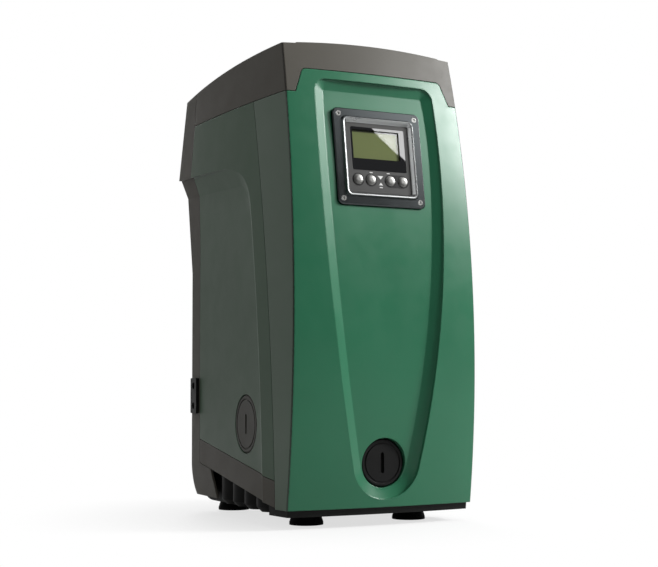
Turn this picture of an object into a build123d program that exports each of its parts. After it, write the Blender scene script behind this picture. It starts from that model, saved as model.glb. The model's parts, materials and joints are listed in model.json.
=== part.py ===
"""Domestic centrifugal booster pump in a moulded cabinet, built as separate pieces.

Frame: millimetres, +Z up, front toward -Y, origin on the floor under the cabinet's middle.
"""
from build123d import *
from math import cos, radians, sin
import os

os.makedirs("parts", exist_ok=True)

# ---------------------------------------------------------------- cabinet form
HEIGHT = 567.0              # floor to the crown of the cap
WALL = 3.0                  # moulded wall of every shell
SEAM = 0.8                  # gap between neighbouring shells
CLEAR = 0.3                 # gap between pieces that are set together
FIT = 0.05                  # sliding or pressed fit
REACH = 300.0               # a cut that runs clear of the cabinet
CUT = 40.0                  # a cut that runs clear of one shell
BELOW = -20.0               # clear of the floor
HEX = 6                     # sides of a nut
EDGE = 1.5                  # broken edge of a turned piece

HALF_WIDTH_FOOT = 122.2     # at the front corner, at floor level
HALF_WIDTH_TAPER = 8.2      # lost from the half width at full height
SIDE_BULGE = 7.5            # side's swell between the front corner and the rear
REAR_GAIN = 4.0             # rear half width less the front corner's
FRONT_APEX_Z = 220.0        # height at which the front stands furthest forward
FRONT_APEX_Y = -170.8       # front corner line at that height
FRONT_BOW = 1330.0          # radius of the front seen from the side
FRONT_SAG = 7.5             # swell of the front between its corners
CORNER_R = 3.0              # front corner rounding
SECTIONS = 5                # plans that the form passes through

REAR_TOP_Y = 147.0          # rear face at the top of the cap
KNEE_Y = 180.5              # furthest point of the rear
KNEE_Z = 436.0
REAR_LOW_Y = 157.0          # rear face below the knee
UNDERCUT_Z = 310.0          # where the rear starts to slope out to the knee
UNDERCUT_R = 150.0
KNEE_R = 9.0
BASE_R = 52.0               # rounding under the rear

CROWN_Y = -160.0            # where the top is highest
CROWN_BOW = 2300.0          # radius of the top seen from the side
CROWN_DROP = 6.0            # fall of the top from its middle to its sides
CROWN_TURN = 12.0           # degrees of the top's arc, more than the cabinet's depth
PANEL_HALF = 96.0           # half width of the raised middle of the top
PANEL_STEP = 1.0
PANEL_SLOPE = 2.0

# ---------------------------------------------------------------- seams
CAP_Z = 502.0               # lower edge of the cap
NOTCH_TOP_Z = 531.0         # where the front cover rises into the cap
NOTCH_HALF_TOP = 93.0
NOTCH_HALF_FOOT = 104.0
NOTCH_R = 7.0
NOTCH_BACK_Y = -100.0       # the notch runs forward from here
FRONT_FOOT_Z = 22.0         # lower edge of the front cover
SIDE_SEAM = ((-130.0, 22.0), (-119.0, 208.0), (-63.0, 505.0))
REAR_SEAM_LOW_Y = 126.0
REAR_SEAM = ((115.0, HEIGHT), (120.0, CAP_Z), (131.0, KNEE_Z), (REAR_SEAM_LOW_Y, 350.0))
BASE_SEAM_TOP_Y = 84.0      # front end of the rear shell under the skirts
BASE_SEAM_FOOT_Y = 44.0
SKIRT_FRONT_Z = 54.0        # top of the skirt at the side seam
SKIRT_REAR_Z = 92.0
SKIRT_HEIGHT = 30.0

# ---------------------------------------------------------------- side recess
SIDE_FLOOR_X = 121.0        # recess floor, at the plug
SIDE_FLOOR_TILT = 2.6       # degrees by which it nears the middle toward the rear
SIDE_SLOPE = 24.0           # width of the slope down to the floor
SIDE_RECESS_DEPTH = 8.0
SIDE_EDGE_FOOT_Y = -117.0
SIDE_EDGE_MID = (-93.0, 285.0)
SIDE_EDGE_TOP = (-67.0, 427.0)
SIDE_SHOULDER_R = 58.0
SIDE_TOP_REAR_Z = 438.0

# ---------------------------------------------------------------- front recess
FLOOR_APEX_Y = -168.5       # recess floor at the front's foremost height
RECESS_TOP_Z = 520.0
RECESS_HALF_TOP = 79.0
RECESS_HALF_MID = 75.0
RECESS_MID_Z = 287.0
RECESS_HALF_FOOT = 43.5
RECESS_FOOT_Z = 69.0
RECESS_END_Z = 31.0
RECESS_TOP_R = 15.0
RECESS_SLOPE = 13.0
RECESS_DEPTH = 5.5

# ---------------------------------------------------------------- display
BEZEL_Y = -155.1            # screw face of the bezel, at its middle
BEZEL_Z = 429.0
BEZEL_TILT = 7.9            # degrees that the face looks up
BEZEL_SIDE = 117.0
BEZEL_R = 7.0
BEZEL_DEPTH = 5.2
BEZEL_OPENING = 91.0
RIDGE_SIDE = 99.0
RIDGE_HEIGHT = 2.6
RIDGE_TAPER = 30.0
WINDOW_SIDE = 97.0          # opening in the cover behind the bezel
SEAT_PAD = 6.0              # thickening of the cover behind the bezel
SCREW_PITCH = 102.6
SCREW_HEAD_R = 3.2
SCREW_HEAD_H = 2.0
SCREW_SHANK_R = 1.9
SCREW_LENGTH = 11.0
MODULE_DEPTH = 20.0
MODULE_R = 5.0
FASCIA_DEPTH = 3.6
GLASS_WIDTH = 72.0
GLASS_HEIGHT = 52.0
GLASS_DEPTH = 1.8
GLASS_RISE = 10.7           # middle of the glass above the middle of the bezel
LCD_WIDTH = 64.0
LCD_HEIGHT = 36.0
LCD_DEPTH = 1.6
LCD_OFFSET = (-2.5, 16.5)
BUTTON_R = 6.4
BUTTON_FLANGE = 1.0
BUTTON_PROUD = 0.8
BUTTON_TRAVEL = 1.0
BUTTON_EDGE = 0.6
BUTTON_DROP = -27.0
BUTTON_PLACES = {"left_button": -30.0, "mode_button": -13.0, "right_button": 13.0, "set_button": 30.0}

# ---------------------------------------------------------------- plugs
FRONT_PLUG_Z = 72.5
FRONT_PLUG_R = 27.8
FRONT_PLUG_FACE_Y = -157.5
SIDE_PLUG_Y = -40.5
SIDE_PLUG_Z = 116.0
SIDE_PLUG_R = 34.5
PLUG_FLANGE = 6.0
PLUG_STEM_DEPTH = 12.0
PLUG_STEM_STEP = 8.0        # flange radius less stem radius
PLUG_GAP = 1.0
PLUG_RIM = 4.0
PLUG_GROOVE = 2.0
PLUG_GROOVE_DEPTH = 1.2
SLOT_LENGTH = 24.0
SLOT_WIDTH = 4.5
SLOT_DEPTH = 4.0
SEAL_SECTION = 1.5

# ---------------------------------------------------------------- rear openings
GRILLE_Z = 250.0
GRILLE_WIDTH = 150.0
GRILLE_HEIGHT = 84.0
GRILLE_R = 6.0
GRILLE_LIP = 4.0
LOUVRES = 7
LOUVRE_PITCH = 10.5
LOUVRE_GAP = 5.0
CLIP_Y = 140.0              # clip on the left side of the rear shell
CLIP_Z = 148.0
CLIP_WIDTH = 22.0
CLIP_HEIGHT = 46.0
CLIP_DEPTH = 4.0
CLIP_R = 2.0
CLIP_HOLE_R = 4.5
CLIP_PITCH = 26.0
GLAND_Z = 96.0
GLAND_R = 9.0
GLAND_BORE_R = 4.5
GLAND_NUT = 5.0

# ---------------------------------------------------------------- base and feet
TRAY_Z = 14.0               # underside of the tray
TRAY_FLOOR = 4.0
TRAY_UPSTAND = 10.0         # how far the tray wall rises behind the shells
TRAY_REAR_Z = 60.0          # height that the tray rises from at the rear
REAR_FOOT_Z = 20.0          # lower edge of the rear shell
FOOT_X = 69.3
FOOT_FRONT_Y = -98.5
FOOT_REAR_Y = 115.0
FOOT_R = 20.0
FOOT_TOP_R = 16.5
STUD_R = 5.0
STUD_LENGTH = 16.0
INSERT_R = 8.0
INSERT_HEIGHT = 18.0
RIB_PITCH = 39.0
RIB_R = 17.0
RIBS = 5
RIB_FRONT_Y = -110.0
RIB_DEPTH = 14.0            # how far the tray is set in beside the ribs
RIB_CHAMFER = 6.0

# ---------------------------------------------------------------- pump
AXIS_Z = 74.0
BARREL_R = 50.0
BARREL_WALL = 4.0
MOTOR_FRONT_Y = -112.0
MOTOR_REAR_Y = 12.0
BELL_DEPTH = 12.0
SHAFT_R = 6.0
BEARING_R = 16.0
BEARING_WIDTH = 11.0
ROTOR_R = 25.0
ROTOR_LENGTH = 70.0
AIR_GAP = 0.5
STATOR_LENGTH = 70.0
WINDING_DEPTH = 12.0
STAGES = 4
STAGE_PITCH = 19.0
IMPELLER_R = 36.0
IMPELLER_EYE_R = 14.0
IMPELLER_DEPTH = 8.0
IMPELLER_PLATE = 1.6
BLADES = 6
BLADE_THICK = 1.6
DIFFUSER_WALL = 2.0
RUN_CLEAR = 0.6             # axial gap between a turning and a standing face
SHAFT_CLEAR = 0.08          # radial gap where the shaft runs through a wall

FINS = 36
FIN_DEPTH = 1.6
STATOR_SLOTS = 12
WINDING_WIDTH = 4.5
SEAL_R = 14.0
SEAL_FACE = 4.0
SHAFT_STUB = 8.0
SHAFT_CHAMFER = 0.8
SHAFT_SLOT = (8.4, 1.6, 2.5)  # length, width and depth of the slot for turning by hand
BLADE_SWEEP = 0.9           # radians swept by a blade from hub to rim
BLADE_BEND = 30.0

# ---------------------------------------------------------------- water ways
PIPE_R = 10.0
PIPE_WALL = 1.5
DISCHARGE_X = 24.0
DISCHARGE_Y = 34.0
DISCHARGE_Z = 132.0
PORT_X = 66.0
PORT_Z = 146.0
PORT_BORE_R = 15.1          # G1 female thread, bore
PORT_R = 21.0
PORT_DEPTH = 22.0
COLLAR_R = 34.0
COLLAR_BACK = 6.0           # depth behind the rear face, for the rounded corner
COLLAR_PROUD = 6.0
SUCTION_Y = 113.0
MOUNT_FRONT_Y = -60.0
MOUNT_REAR_Y = 66.0
MOUNT_WIDTH = 70.0
MOUNT_DEPTH = 24.0
COLLAR_NOTCHES = 8
COLLAR_NOTCH_WIDTH = 7.0
COLLAR_NOTCH_DEPTH = 4.0
VALVE_R = 30.0
VALVE_LENGTH = 46.0
GUIDE_DEPTH = 32.0
STEM_R = 3.0
STEM_REACH = 4.0
POPPET_DISC = 4.0
VALVE_WALL = 3.0
POPPET_R = 14.0
VESSEL_R = 60.0
VESSEL_HEIGHT = 190.0
VESSEL_Y = 62.0
VESSEL_Z = 205.0            # lowest point of the vessel's dome
DOME = 32.0
DOME_AT = 0.75              # point that a dome passes through, as parts of radius and dome
DOME_RISE = 0.4
VESSEL_WALL = 1.5
VALVE_STEM = 10.0           # filling valve on top of the vessel
NOZZLE_R = 8.0
STRAP = 1.5
STRAP_WIDTH = 24.0
LOOP_Z = 182.0              # height of the pipe that crosses under the vessel
ELBOW_Z = 152.0
ELBOW_GAP = 1.5             # between the valve's floor and the pipe that rises beside it
ELBOW_BEND = 12.5
PIPE_BEND = 16.0

# ---------------------------------------------------------------- chassis and electronics
CHASSIS_PLATE = 5.0
CHASSIS_HALF = 96.0
CHASSIS_TOP = 455.0
CHASSIS_FOOT = 28.0
INVERTER_Z = 335.0
INVERTER_WIDTH = 150.0
INVERTER_HEIGHT = 190.0
INVERTER_DEPTH = 62.0
BOARD_STANDOFF = 6.0
BOARD_THICK = 1.6
CASE_R = 8.0
PILLAR_R = 5.0
PILLAR_INSET = 12.0
CAPACITOR_R = 15.0
CAPACITOR_PITCH = 40.0
CAPACITOR_HEIGHT = 35.0

# ---------------------------------------------------------------- the cabinet's outer form


TRAY_INSET = WALL + CLEAR   # the tray sits inside the shells
ABOVE = HEIGHT - BELOW      # clear of the cap's top
BEHIND = KNEE_Y - BELOW     # clear of the rear


def half_width(z):
    """Half width of the cabinet at its front corners."""
    return HALF_WIDTH_FOOT - HALF_WIDTH_TAPER * (z / HEIGHT) ** 2


def bowed(apex_y, z):
    """A line of the front that bows forward at the apex height."""
    return apex_y + (z - FRONT_APEX_Z) ** 2 / (2 * FRONT_BOW)


def plan_section(z, inset):
    """Plan of the cabinet at one height, closed well behind its rear face."""
    corner = half_width(z) - inset
    rear = half_width(z) + REAR_GAIN - inset
    front = bowed(FRONT_APEX_Y, z) + inset
    back = BEHIND
    swell = (corner + rear) / 2 + SIDE_BULGE
    with BuildSketch(Plane.XY.offset(z)) as plan:
        with BuildLine():
            ThreePointArc((-corner, front), (0, front - FRONT_SAG), (corner, front))
            ThreePointArc((corner, front), (swell, (front + back) / 2), (rear, back))
            Line((rear, back), (-rear, back))
            ThreePointArc((-rear, back), (-swell, (front + back) / 2), (-corner, front))
        make_face()
    return plan.sketch


def heel(back, base, radius):
    """The rounding between a rear face and a base, seen from the side."""
    turn = radius * cos(radians(45))
    return ThreePointArc((back - radius, base), (back - radius + turn, base + radius - turn),
                         (back, base + radius))


def rear_profile(inset):
    """Side view of the cabinet: everything in front of its rear face and above its base."""
    slant = (REAR_TOP_Y - KNEE_Y) / (HEIGHT - KNEE_Z)
    low = REAR_LOW_Y - inset
    base = TRAY_Z - TRAY_INSET + inset
    with BuildSketch(Plane.YZ) as side:
        with BuildLine():
            rounding = heel(low, base, BASE_R - inset)
            Polyline(rounding @ 1, (low, UNDERCUT_Z), (KNEE_Y - inset, KNEE_Z + inset / 2),
                     (KNEE_Y - inset + slant * (ABOVE - KNEE_Z), ABOVE), (-REACH, ABOVE), (-REACH, base),
                     rounding @ 0)
        make_face()
        knee = side.vertices().sort_by(Axis.Y)[-1]
        fillet(knee, KNEE_R)
        bend = side.vertices().sort_by_distance((0, low, UNDERCUT_Z))[0]
        fillet(bend, UNDERCUT_R)
    return side.sketch


def crown(inset):
    """The cap's top: a slightly domed face with a raised middle panel."""
    top = HEIGHT - inset
    edge = top - PANEL_STEP - CROWN_DROP
    ledge = top - PANEL_STEP - CROWN_DROP * (PANEL_HALF / HALF_WIDTH_FOOT) ** 2
    with BuildPart() as dome:
        with BuildSketch(Plane.XZ.offset(-CROWN_Y)):
            with BuildLine():
                foot = PANEL_HALF + PANEL_SLOPE
                dome_line = ThreePointArc((PANEL_HALF, ledge + PANEL_STEP), (0, top),
                                          (-PANEL_HALF, ledge + PANEL_STEP))
                Polyline(dome_line @ 1, (-foot, ledge), (-REACH / 2, edge), (-REACH / 2, 0), (REACH / 2, 0),
                         (REACH / 2, edge), (foot, ledge), dome_line @ 0)
            make_face()
        hub = Axis((0, CROWN_Y, top - CROWN_BOW), (1, 0, 0))
        revolve(axis=hub, revolution_arc=CROWN_TURN)
        mirror(about=Plane.XZ.offset(-CROWN_Y))
    return dome.part


def side_floor_plane(inset):
    """Floor of the left side's recess, seen from outside, with its origin under the plug."""
    tilt = radians(SIDE_FLOOR_TILT)
    return Plane(origin=(-SIDE_FLOOR_X + inset, SIDE_PLUG_Y, 0), x_dir=(-sin(tilt), -cos(tilt), 0),
                 z_dir=(-cos(tilt), sin(tilt), 0))


def on_side(y, z):
    """A point of the side recess's outline, in its floor plane."""
    return (SIDE_PLUG_Y - y, z)


def side_recess(inset):
    """What the left side's recess takes away."""
    with BuildPart() as hollow:
        with BuildSketch(side_floor_plane(inset)):
            with BuildLine():
                edge = ThreePointArc(on_side(SIDE_EDGE_FOOT_Y, BELOW), on_side(*SIDE_EDGE_MID),
                                     on_side(*SIDE_EDGE_TOP))
                Polyline(edge @ 1, on_side(BEHIND, SIDE_TOP_REAR_Z), on_side(BEHIND, BELOW), edge @ 0)
            outline = make_face()
            fillet(outline.vertices().sort_by_distance(edge @ 1)[0], SIDE_SHOULDER_R)
            if inset:
                offset(amount=inset, kind=Kind.INTERSECTION)
        extrude(amount=CUT)
        floor = hollow.faces().filter_by(GeomType.PLANE).sort_by(Axis.X)[-1]
        slope = floor.edges().filter_by(lambda e: e.center().Y < KNEE_Y and e.center().Z > 0)
        chamfer(slope, length=SIDE_SLOPE, length2=SIDE_RECESS_DEPTH, reference=floor)
    return hollow.part


def front_recess(inset):
    """What the tapered recess of the front takes away."""
    foot = RECESS_HALF_FOOT + inset
    middle = RECESS_HALF_MID + inset
    head = RECESS_HALF_TOP + inset
    top = RECESS_TOP_Z + inset
    with BuildPart() as hollow:
        with BuildSketch(Plane.XZ):
            with BuildLine():
                ThreePointArc((-foot, RECESS_FOOT_Z), (0, RECESS_END_Z - inset), (foot, RECESS_FOOT_Z))
                ThreePointArc((foot, RECESS_FOOT_Z), (middle, RECESS_MID_Z), (head, top))
                Line((head, top), (-head, top))
                ThreePointArc((-head, top), (-middle, RECESS_MID_Z), (-foot, RECESS_FOOT_Z))
            outline = make_face()
            fillet(outline.vertices().group_by(Axis.Z)[-1], RECESS_TOP_R + inset)
        extrude(amount=REACH)
        with BuildSketch(Plane.YZ):
            with BuildLine():
                heights = (0, FRONT_APEX_Z, HEIGHT)
                bow = ThreePointArc(*[(bowed(FLOOR_APEX_Y, z) + inset, z) for z in heights])
                Polyline(bow @ 1, (-REACH, HEIGHT), (-REACH, 0), bow @ 0)
            make_face()
        extrude(amount=REACH, both=True, mode=Mode.INTERSECT)
        floor = hollow.faces().sort_by(Axis.Y)[-1]
        chamfer(floor.edges(), length=RECESS_SLOPE, length2=RECESS_DEPTH, reference=floor)
    return hollow.part


def cabinet(inset):
    """The cabinet's outer form as one solid, inset all round by a wall."""
    with BuildPart() as form:
        loft([plan_section(step * ABOVE / (SECTIONS - 1), inset) for step in range(SECTIONS)])
        fillet(form.edges().filter_by(lambda e: e.center().Y < 0 and e.length > HEIGHT / 2), CORNER_R)
        extrude(rear_profile(inset), amount=REACH, both=True, mode=Mode.INTERSECT)
        add(crown(inset), mode=Mode.INTERSECT)
        add(front_recess(inset), mode=Mode.SUBTRACT)
        hollow = side_recess(inset)
        add([hollow, mirror(hollow, about=Plane.YZ)], mode=Mode.SUBTRACT)
    return form.part


# ---------------------------------------------------------------- regions of the shells


def side_cut(*outline):
    """A region drawn in side view (y, z), cut through the whole width."""
    with BuildPart() as region:
        with BuildSketch(Plane.YZ):
            with BuildLine():
                Polyline(*outline, close=True)
            make_face()
        extrude(amount=REACH, both=True)
    return region.part


def front_zone(shift):
    """Everything in front of the side seam, moved by shift toward the rear."""
    with BuildPart() as region:
        with BuildSketch(Plane.YZ):
            with BuildLine():
                seam = ThreePointArc(*[(y + shift, z) for y, z in SIDE_SEAM])
                Polyline(seam @ 1, ((seam @ 1).X, HEIGHT), (-REACH, HEIGHT), (-REACH, BELOW),
                         ((seam @ 0).X, BELOW), seam @ 0)
            make_face()
        extrude(amount=REACH, both=True)
    return region.part


def skirt_top(y):
    """Height of the skirt's upper edge, which rises toward the rear."""
    run = (y - SIDE_SEAM[0][0]) / (REAR_SEAM_LOW_Y - SIDE_SEAM[0][0])
    return SKIRT_FRONT_Z + (SKIRT_REAR_Z - SKIRT_FRONT_Z) * run


def skirt_foot(y):
    """Height of the skirt's lower edge."""
    return skirt_top(y) - SKIRT_HEIGHT


def rear_zone(shift):
    """Everything behind the rear shell's seam, which turns forward under the skirts."""
    seam = [(y + shift, z) for y, z in REAR_SEAM]
    under = [(y + shift, skirt_foot(y) - SEAM) for y in (REAR_SEAM_LOW_Y, BASE_SEAM_TOP_Y)]
    return side_cut(*seam, *under, (BASE_SEAM_FOOT_Y + shift, 0), (REACH, 0), (REACH, HEIGHT))


def cap_notch(grow):
    """Where the front cover rises into the cap, seen from the front."""
    with BuildPart() as notch:
        with BuildSketch(Plane.XZ.offset(-NOTCH_BACK_Y)):
            with BuildLine():
                Polyline((-NOTCH_HALF_FOOT, CAP_Z - NOTCH_R), (-NOTCH_HALF_FOOT, CAP_Z),
                         (-NOTCH_HALF_TOP, NOTCH_TOP_Z), (NOTCH_HALF_TOP, NOTCH_TOP_Z),
                         (NOTCH_HALF_FOOT, CAP_Z), (NOTCH_HALF_FOOT, CAP_Z - NOTCH_R), close=True)
            outline = make_face()
            fillet(outline.vertices().group_by(Axis.Y)[-1], NOTCH_R)
            if grow:
                offset(amount=grow)
        extrude(amount=REACH)
    return notch.part


def below(height):
    """Everything under a height."""
    return side_cut((-REACH, BELOW), (REACH, BELOW), (REACH, height), (-REACH, height))


SKIN = cabinet(0) - cabinet(WALL)
HALF = SEAM / 2

# ---------------------------------------------------------------- top cap

with BuildPart() as top_cap:
    add(SKIN)
    add(below(CAP_Z + HALF), mode=Mode.SUBTRACT)
    add(cap_notch(HALF), mode=Mode.SUBTRACT)
    add(rear_zone(-HALF), mode=Mode.SUBTRACT)
top_cap.part.label = "top_cap"
export_step(top_cap.part, "parts/top_cap.step")

# ---------------------------------------------------------------- front cover

BEZEL_PLANE = Plane(origin=(0, BEZEL_Y, BEZEL_Z), x_dir=(1, 0, 0),
                    z_dir=(0, -cos(radians(BEZEL_TILT)), sin(radians(BEZEL_TILT))))
OUTWARD = Axis(BEZEL_PLANE.origin, BEZEL_PLANE.z_dir)
PLUG_PLANE = Plane(origin=(0, FRONT_PLUG_FACE_Y, FRONT_PLUG_Z), x_dir=(1, 0, 0), z_dir=(0, -1, 0))


def corners(pitch):
    """The four corners of a square round the bezel's middle."""
    return GridLocations(pitch, pitch, 2, 2)


COVER_REACH = cap_notch(-HALF) + below(CAP_Z - HALF)
COVER_SHELL = ((SKIN & front_zone(-HALF)) - below(FRONT_FOOT_Z)) & COVER_REACH

with BuildPart() as front_cover:
    add(COVER_SHELL)
    with BuildSketch(BEZEL_PLANE.offset(-BEZEL_DEPTH - CLEAR)):
        Rectangle(BEZEL_SIDE + SEAT_PAD, BEZEL_SIDE + SEAT_PAD)
    extrude(amount=-SEAT_PAD)
    with BuildSketch(BEZEL_PLANE.offset(-BEZEL_DEPTH - CLEAR)):
        RectangleRounded(BEZEL_SIDE + 2 * CLEAR, BEZEL_SIDE + 2 * CLEAR, BEZEL_R)
    extrude(amount=CUT, mode=Mode.SUBTRACT)
    with BuildSketch(BEZEL_PLANE.offset(-CUT)):
        Rectangle(WINDOW_SIDE, WINDOW_SIDE)
    extrude(amount=2 * CUT, mode=Mode.SUBTRACT)
    with BuildSketch(BEZEL_PLANE.offset(-BEZEL_DEPTH - 2 * SEAT_PAD)):
        with corners(SCREW_PITCH):
            Circle(SCREW_SHANK_R + WALL)
    extrude(amount=SEAT_PAD)
    with BuildSketch(BEZEL_PLANE):
        with corners(SCREW_PITCH):
            Circle(SCREW_SHANK_R + FIT)
    extrude(amount=-SCREW_LENGTH - CLEAR, mode=Mode.SUBTRACT)
    with BuildSketch(PLUG_PLANE.offset(-PLUG_FLANGE - SEAL_SECTION - WALL)):
        Circle(FRONT_PLUG_R + PLUG_GAP + WALL)
    extrude(amount=PLUG_FLANGE + SEAL_SECTION + WALL)
    with BuildSketch(PLUG_PLANE.offset(-PLUG_FLANGE - SEAL_SECTION)):
        Circle(FRONT_PLUG_R + PLUG_GAP)
    extrude(amount=CUT, mode=Mode.SUBTRACT)
    with BuildSketch(PLUG_PLANE):
        Circle(FRONT_PLUG_R - PLUG_STEM_STEP + CLEAR)
    extrude(amount=-CUT, mode=Mode.SUBTRACT)
front_cover.part.label = "front_cover"
export_step(front_cover.part, "parts/front_cover.step")

# ---------------------------------------------------------------- side panels and skirts

SIDE_PLUG_PLANE = Plane(origin=side_floor_plane(0).origin + Vector(0, 0, SIDE_PLUG_Z),
                        x_dir=side_floor_plane(0).x_dir, z_dir=side_floor_plane(0).z_dir)

with BuildPart() as right_side_panel:
    add(SKIN)
    add(front_zone(HALF), mode=Mode.SUBTRACT)
    add(rear_zone(-HALF), mode=Mode.SUBTRACT)
    add(side_cut((-REACH, skirt_top(-REACH) + HALF), (REACH, skirt_top(REACH) + HALF),
                 (REACH, CAP_Z - HALF), (-REACH, CAP_Z - HALF)), mode=Mode.INTERSECT)
    split(bisect_by=Plane.YZ, keep=Keep.TOP)
right_side_panel.part.label = "right_side_panel"
export_step(right_side_panel.part, "parts/right_side_panel.step")

with BuildPart() as left_side_panel:
    mirror(right_side_panel.part, about=Plane.YZ)
    with BuildSketch(SIDE_PLUG_PLANE.offset(-WALL / 2)):
        Circle(SIDE_PLUG_R + PLUG_GAP + WALL)
    extrude(amount=-PLUG_FLANGE - SEAL_SECTION - WALL / 2)
    with BuildSketch(SIDE_PLUG_PLANE.offset(-PLUG_FLANGE - SEAL_SECTION)):
        Circle(SIDE_PLUG_R + PLUG_GAP)
    extrude(amount=CUT, mode=Mode.SUBTRACT)
    with BuildSketch(SIDE_PLUG_PLANE):
        Circle(SIDE_PLUG_R - PLUG_STEM_STEP + CLEAR)
    extrude(amount=-CUT, mode=Mode.SUBTRACT)
left_side_panel.part.label = "left_side_panel"
export_step(left_side_panel.part, "parts/left_side_panel.step")

with BuildPart() as right_skirt:
    add(SKIN)
    add(front_zone(HALF), mode=Mode.SUBTRACT)
    add(rear_zone(-HALF), mode=Mode.SUBTRACT)
    add(side_cut((-REACH, skirt_foot(-REACH)), (REACH, skirt_foot(REACH)), (REACH, skirt_top(REACH) - HALF),
                 (-REACH, skirt_top(-REACH) - HALF)), mode=Mode.INTERSECT)
    split(bisect_by=Plane.YZ, keep=Keep.TOP)
right_skirt.part.label = "right_skirt"
export_step(right_skirt.part, "parts/right_skirt.step")

with BuildPart() as left_skirt:
    mirror(right_skirt.part, about=Plane.YZ)
left_skirt.part.label = "left_skirt"
export_step(left_skirt.part, "parts/left_skirt.step")

# ---------------------------------------------------------------- rear shell

PORT_PLACES = [(-PORT_X, PORT_Z), (PORT_X, PORT_Z)]
REAR_PLANE = Plane(origin=(0, REAR_LOW_Y, 0), x_dir=(-1, 0, 0), z_dir=(0, 1, 0))

with BuildPart() as rear_shell:
    add(SKIN)
    add(rear_zone(HALF), mode=Mode.INTERSECT)
    add(below(REAR_FOOT_Z), mode=Mode.SUBTRACT)
    with BuildSketch(REAR_PLANE):
        with Locations(*PORT_PLACES):
            Circle(COLLAR_R + CLEAR)
        with Locations((0, GRILLE_Z)):
            RectangleRounded(GRILLE_WIDTH + 2 * CLEAR, GRILLE_HEIGHT + 2 * CLEAR, GRILLE_R)
        with Locations((0, GLAND_Z)):
            Circle(GLAND_R + CLEAR)
    extrude(amount=-4 * WALL, mode=Mode.SUBTRACT)
rear_shell.part.label = "rear_shell"
export_step(rear_shell.part, "parts/rear_shell.step")

with BuildPart() as vent_grille:
    with BuildSketch(REAR_PLANE.offset(-WALL)):
        with Locations((0, GRILLE_Z)):
            RectangleRounded(GRILLE_WIDTH, GRILLE_HEIGHT, GRILLE_R)
    extrude(amount=WALL)
    with BuildSketch(REAR_PLANE.offset(-WALL - CLEAR)):
        with Locations((0, GRILLE_Z)):
            RectangleRounded(GRILLE_WIDTH + 2 * GRILLE_LIP, GRILLE_HEIGHT + 2 * GRILLE_LIP, GRILLE_R)
    extrude(amount=-WALL / 2)
    with BuildSketch(REAR_PLANE.offset(-WALL)):
        with Locations((0, GRILLE_Z)):
            width = GRILLE_WIDTH - 2 * GRILLE_LIP
            RectangleRounded(width, GRILLE_HEIGHT - 2 * GRILLE_LIP, GRILLE_R / 2)
    extrude(amount=-WALL)
    with BuildSketch(REAR_PLANE.offset(1)):
        with Locations((0, GRILLE_Z)):
            with GridLocations(GRILLE_WIDTH / 2, LOUVRE_PITCH, 2, LOUVRES):
                SlotOverall(GRILLE_WIDTH / 2 - 3 * GRILLE_LIP, LOUVRE_GAP)
    extrude(amount=-3 * WALL, mode=Mode.SUBTRACT)
vent_grille.part.label = "vent_grille"
export_step(vent_grille.part, "parts/vent_grille.step")

with BuildPart() as side_clip:
    with BuildSketch(side_floor_plane(-CLEAR)):
        with Locations(on_side(CLIP_Y, CLIP_Z)):
            RectangleRounded(CLIP_WIDTH, CLIP_HEIGHT, CLIP_R)
    extrude(amount=CLIP_DEPTH)
    with BuildSketch(side_floor_plane(-CLEAR - WALL / 2)):
        with Locations(on_side(CLIP_Y, CLIP_Z)):
            with GridLocations(0, CLIP_PITCH, 1, 2):
                Circle(CLIP_HOLE_R)
    extrude(amount=CLIP_DEPTH, mode=Mode.SUBTRACT)
side_clip.part.label = "side_clip"
export_step(side_clip.part, "parts/side_clip.step")

with BuildPart() as cable_gland:
    with BuildSketch(REAR_PLANE.offset(-WALL - GLAND_NUT - CLEAR)):
        with Locations((0, GLAND_Z)):
            RegularPolygon(GLAND_R + WALL, HEX)
    extrude(amount=GLAND_NUT)
    with BuildSketch(REAR_PLANE.offset(-WALL - GLAND_NUT)):
        with Locations((0, GLAND_Z)):
            Circle(GLAND_R)
    extrude(amount=WALL + GLAND_NUT + CLEAR)
    with BuildSketch(REAR_PLANE.offset(CLEAR)):
        with Locations((0, GLAND_Z)):
            RegularPolygon(GLAND_R + WALL, HEX)
    extrude(amount=GLAND_NUT)
    chamfer(cable_gland.faces().sort_by(Axis.Y)[-1].edges(), EDGE)
    with BuildSketch(REAR_PLANE.offset(2 * GLAND_NUT)):
        with Locations((0, GLAND_Z)):
            Circle(GLAND_BORE_R)
    extrude(amount=-CUT, mode=Mode.SUBTRACT)
cable_gland.part.label = "cable_gland"
export_step(cable_gland.part, "parts/cable_gland.step")

# ---------------------------------------------------------------- base tray and feet

FOOT_PLACES = [(x, y) for y in (FOOT_FRONT_Y, FOOT_REAR_Y) for x in (-FOOT_X, FOOT_X)]
FOOT_NAMES = ["front_left_foot", "front_right_foot", "rear_left_foot", "rear_right_foot"]


def under_skirt(rise):
    """Everything under the skirts' lower edge, raised, with the rear corner rounded."""
    with BuildPart() as region:
        with BuildSketch(Plane.YZ):
            with BuildLine():
                rounding = heel(REAR_LOW_Y - TRAY_INSET, TRAY_Z, BASE_R - TRAY_INSET)
                Polyline(rounding @ 1, (REAR_LOW_Y - TRAY_INSET, TRAY_REAR_Z + rise),
                         (REAR_SEAM_LOW_Y, skirt_foot(REAR_SEAM_LOW_Y) + rise),
                         (SIDE_SEAM[0][0], skirt_foot(SIDE_SEAM[0][0]) + rise),
                         (-REACH, FRONT_FOOT_Z + rise), (-REACH, TRAY_Z), rounding @ 0)
            make_face()
        extrude(amount=REACH, both=True)
    return region.part


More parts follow.
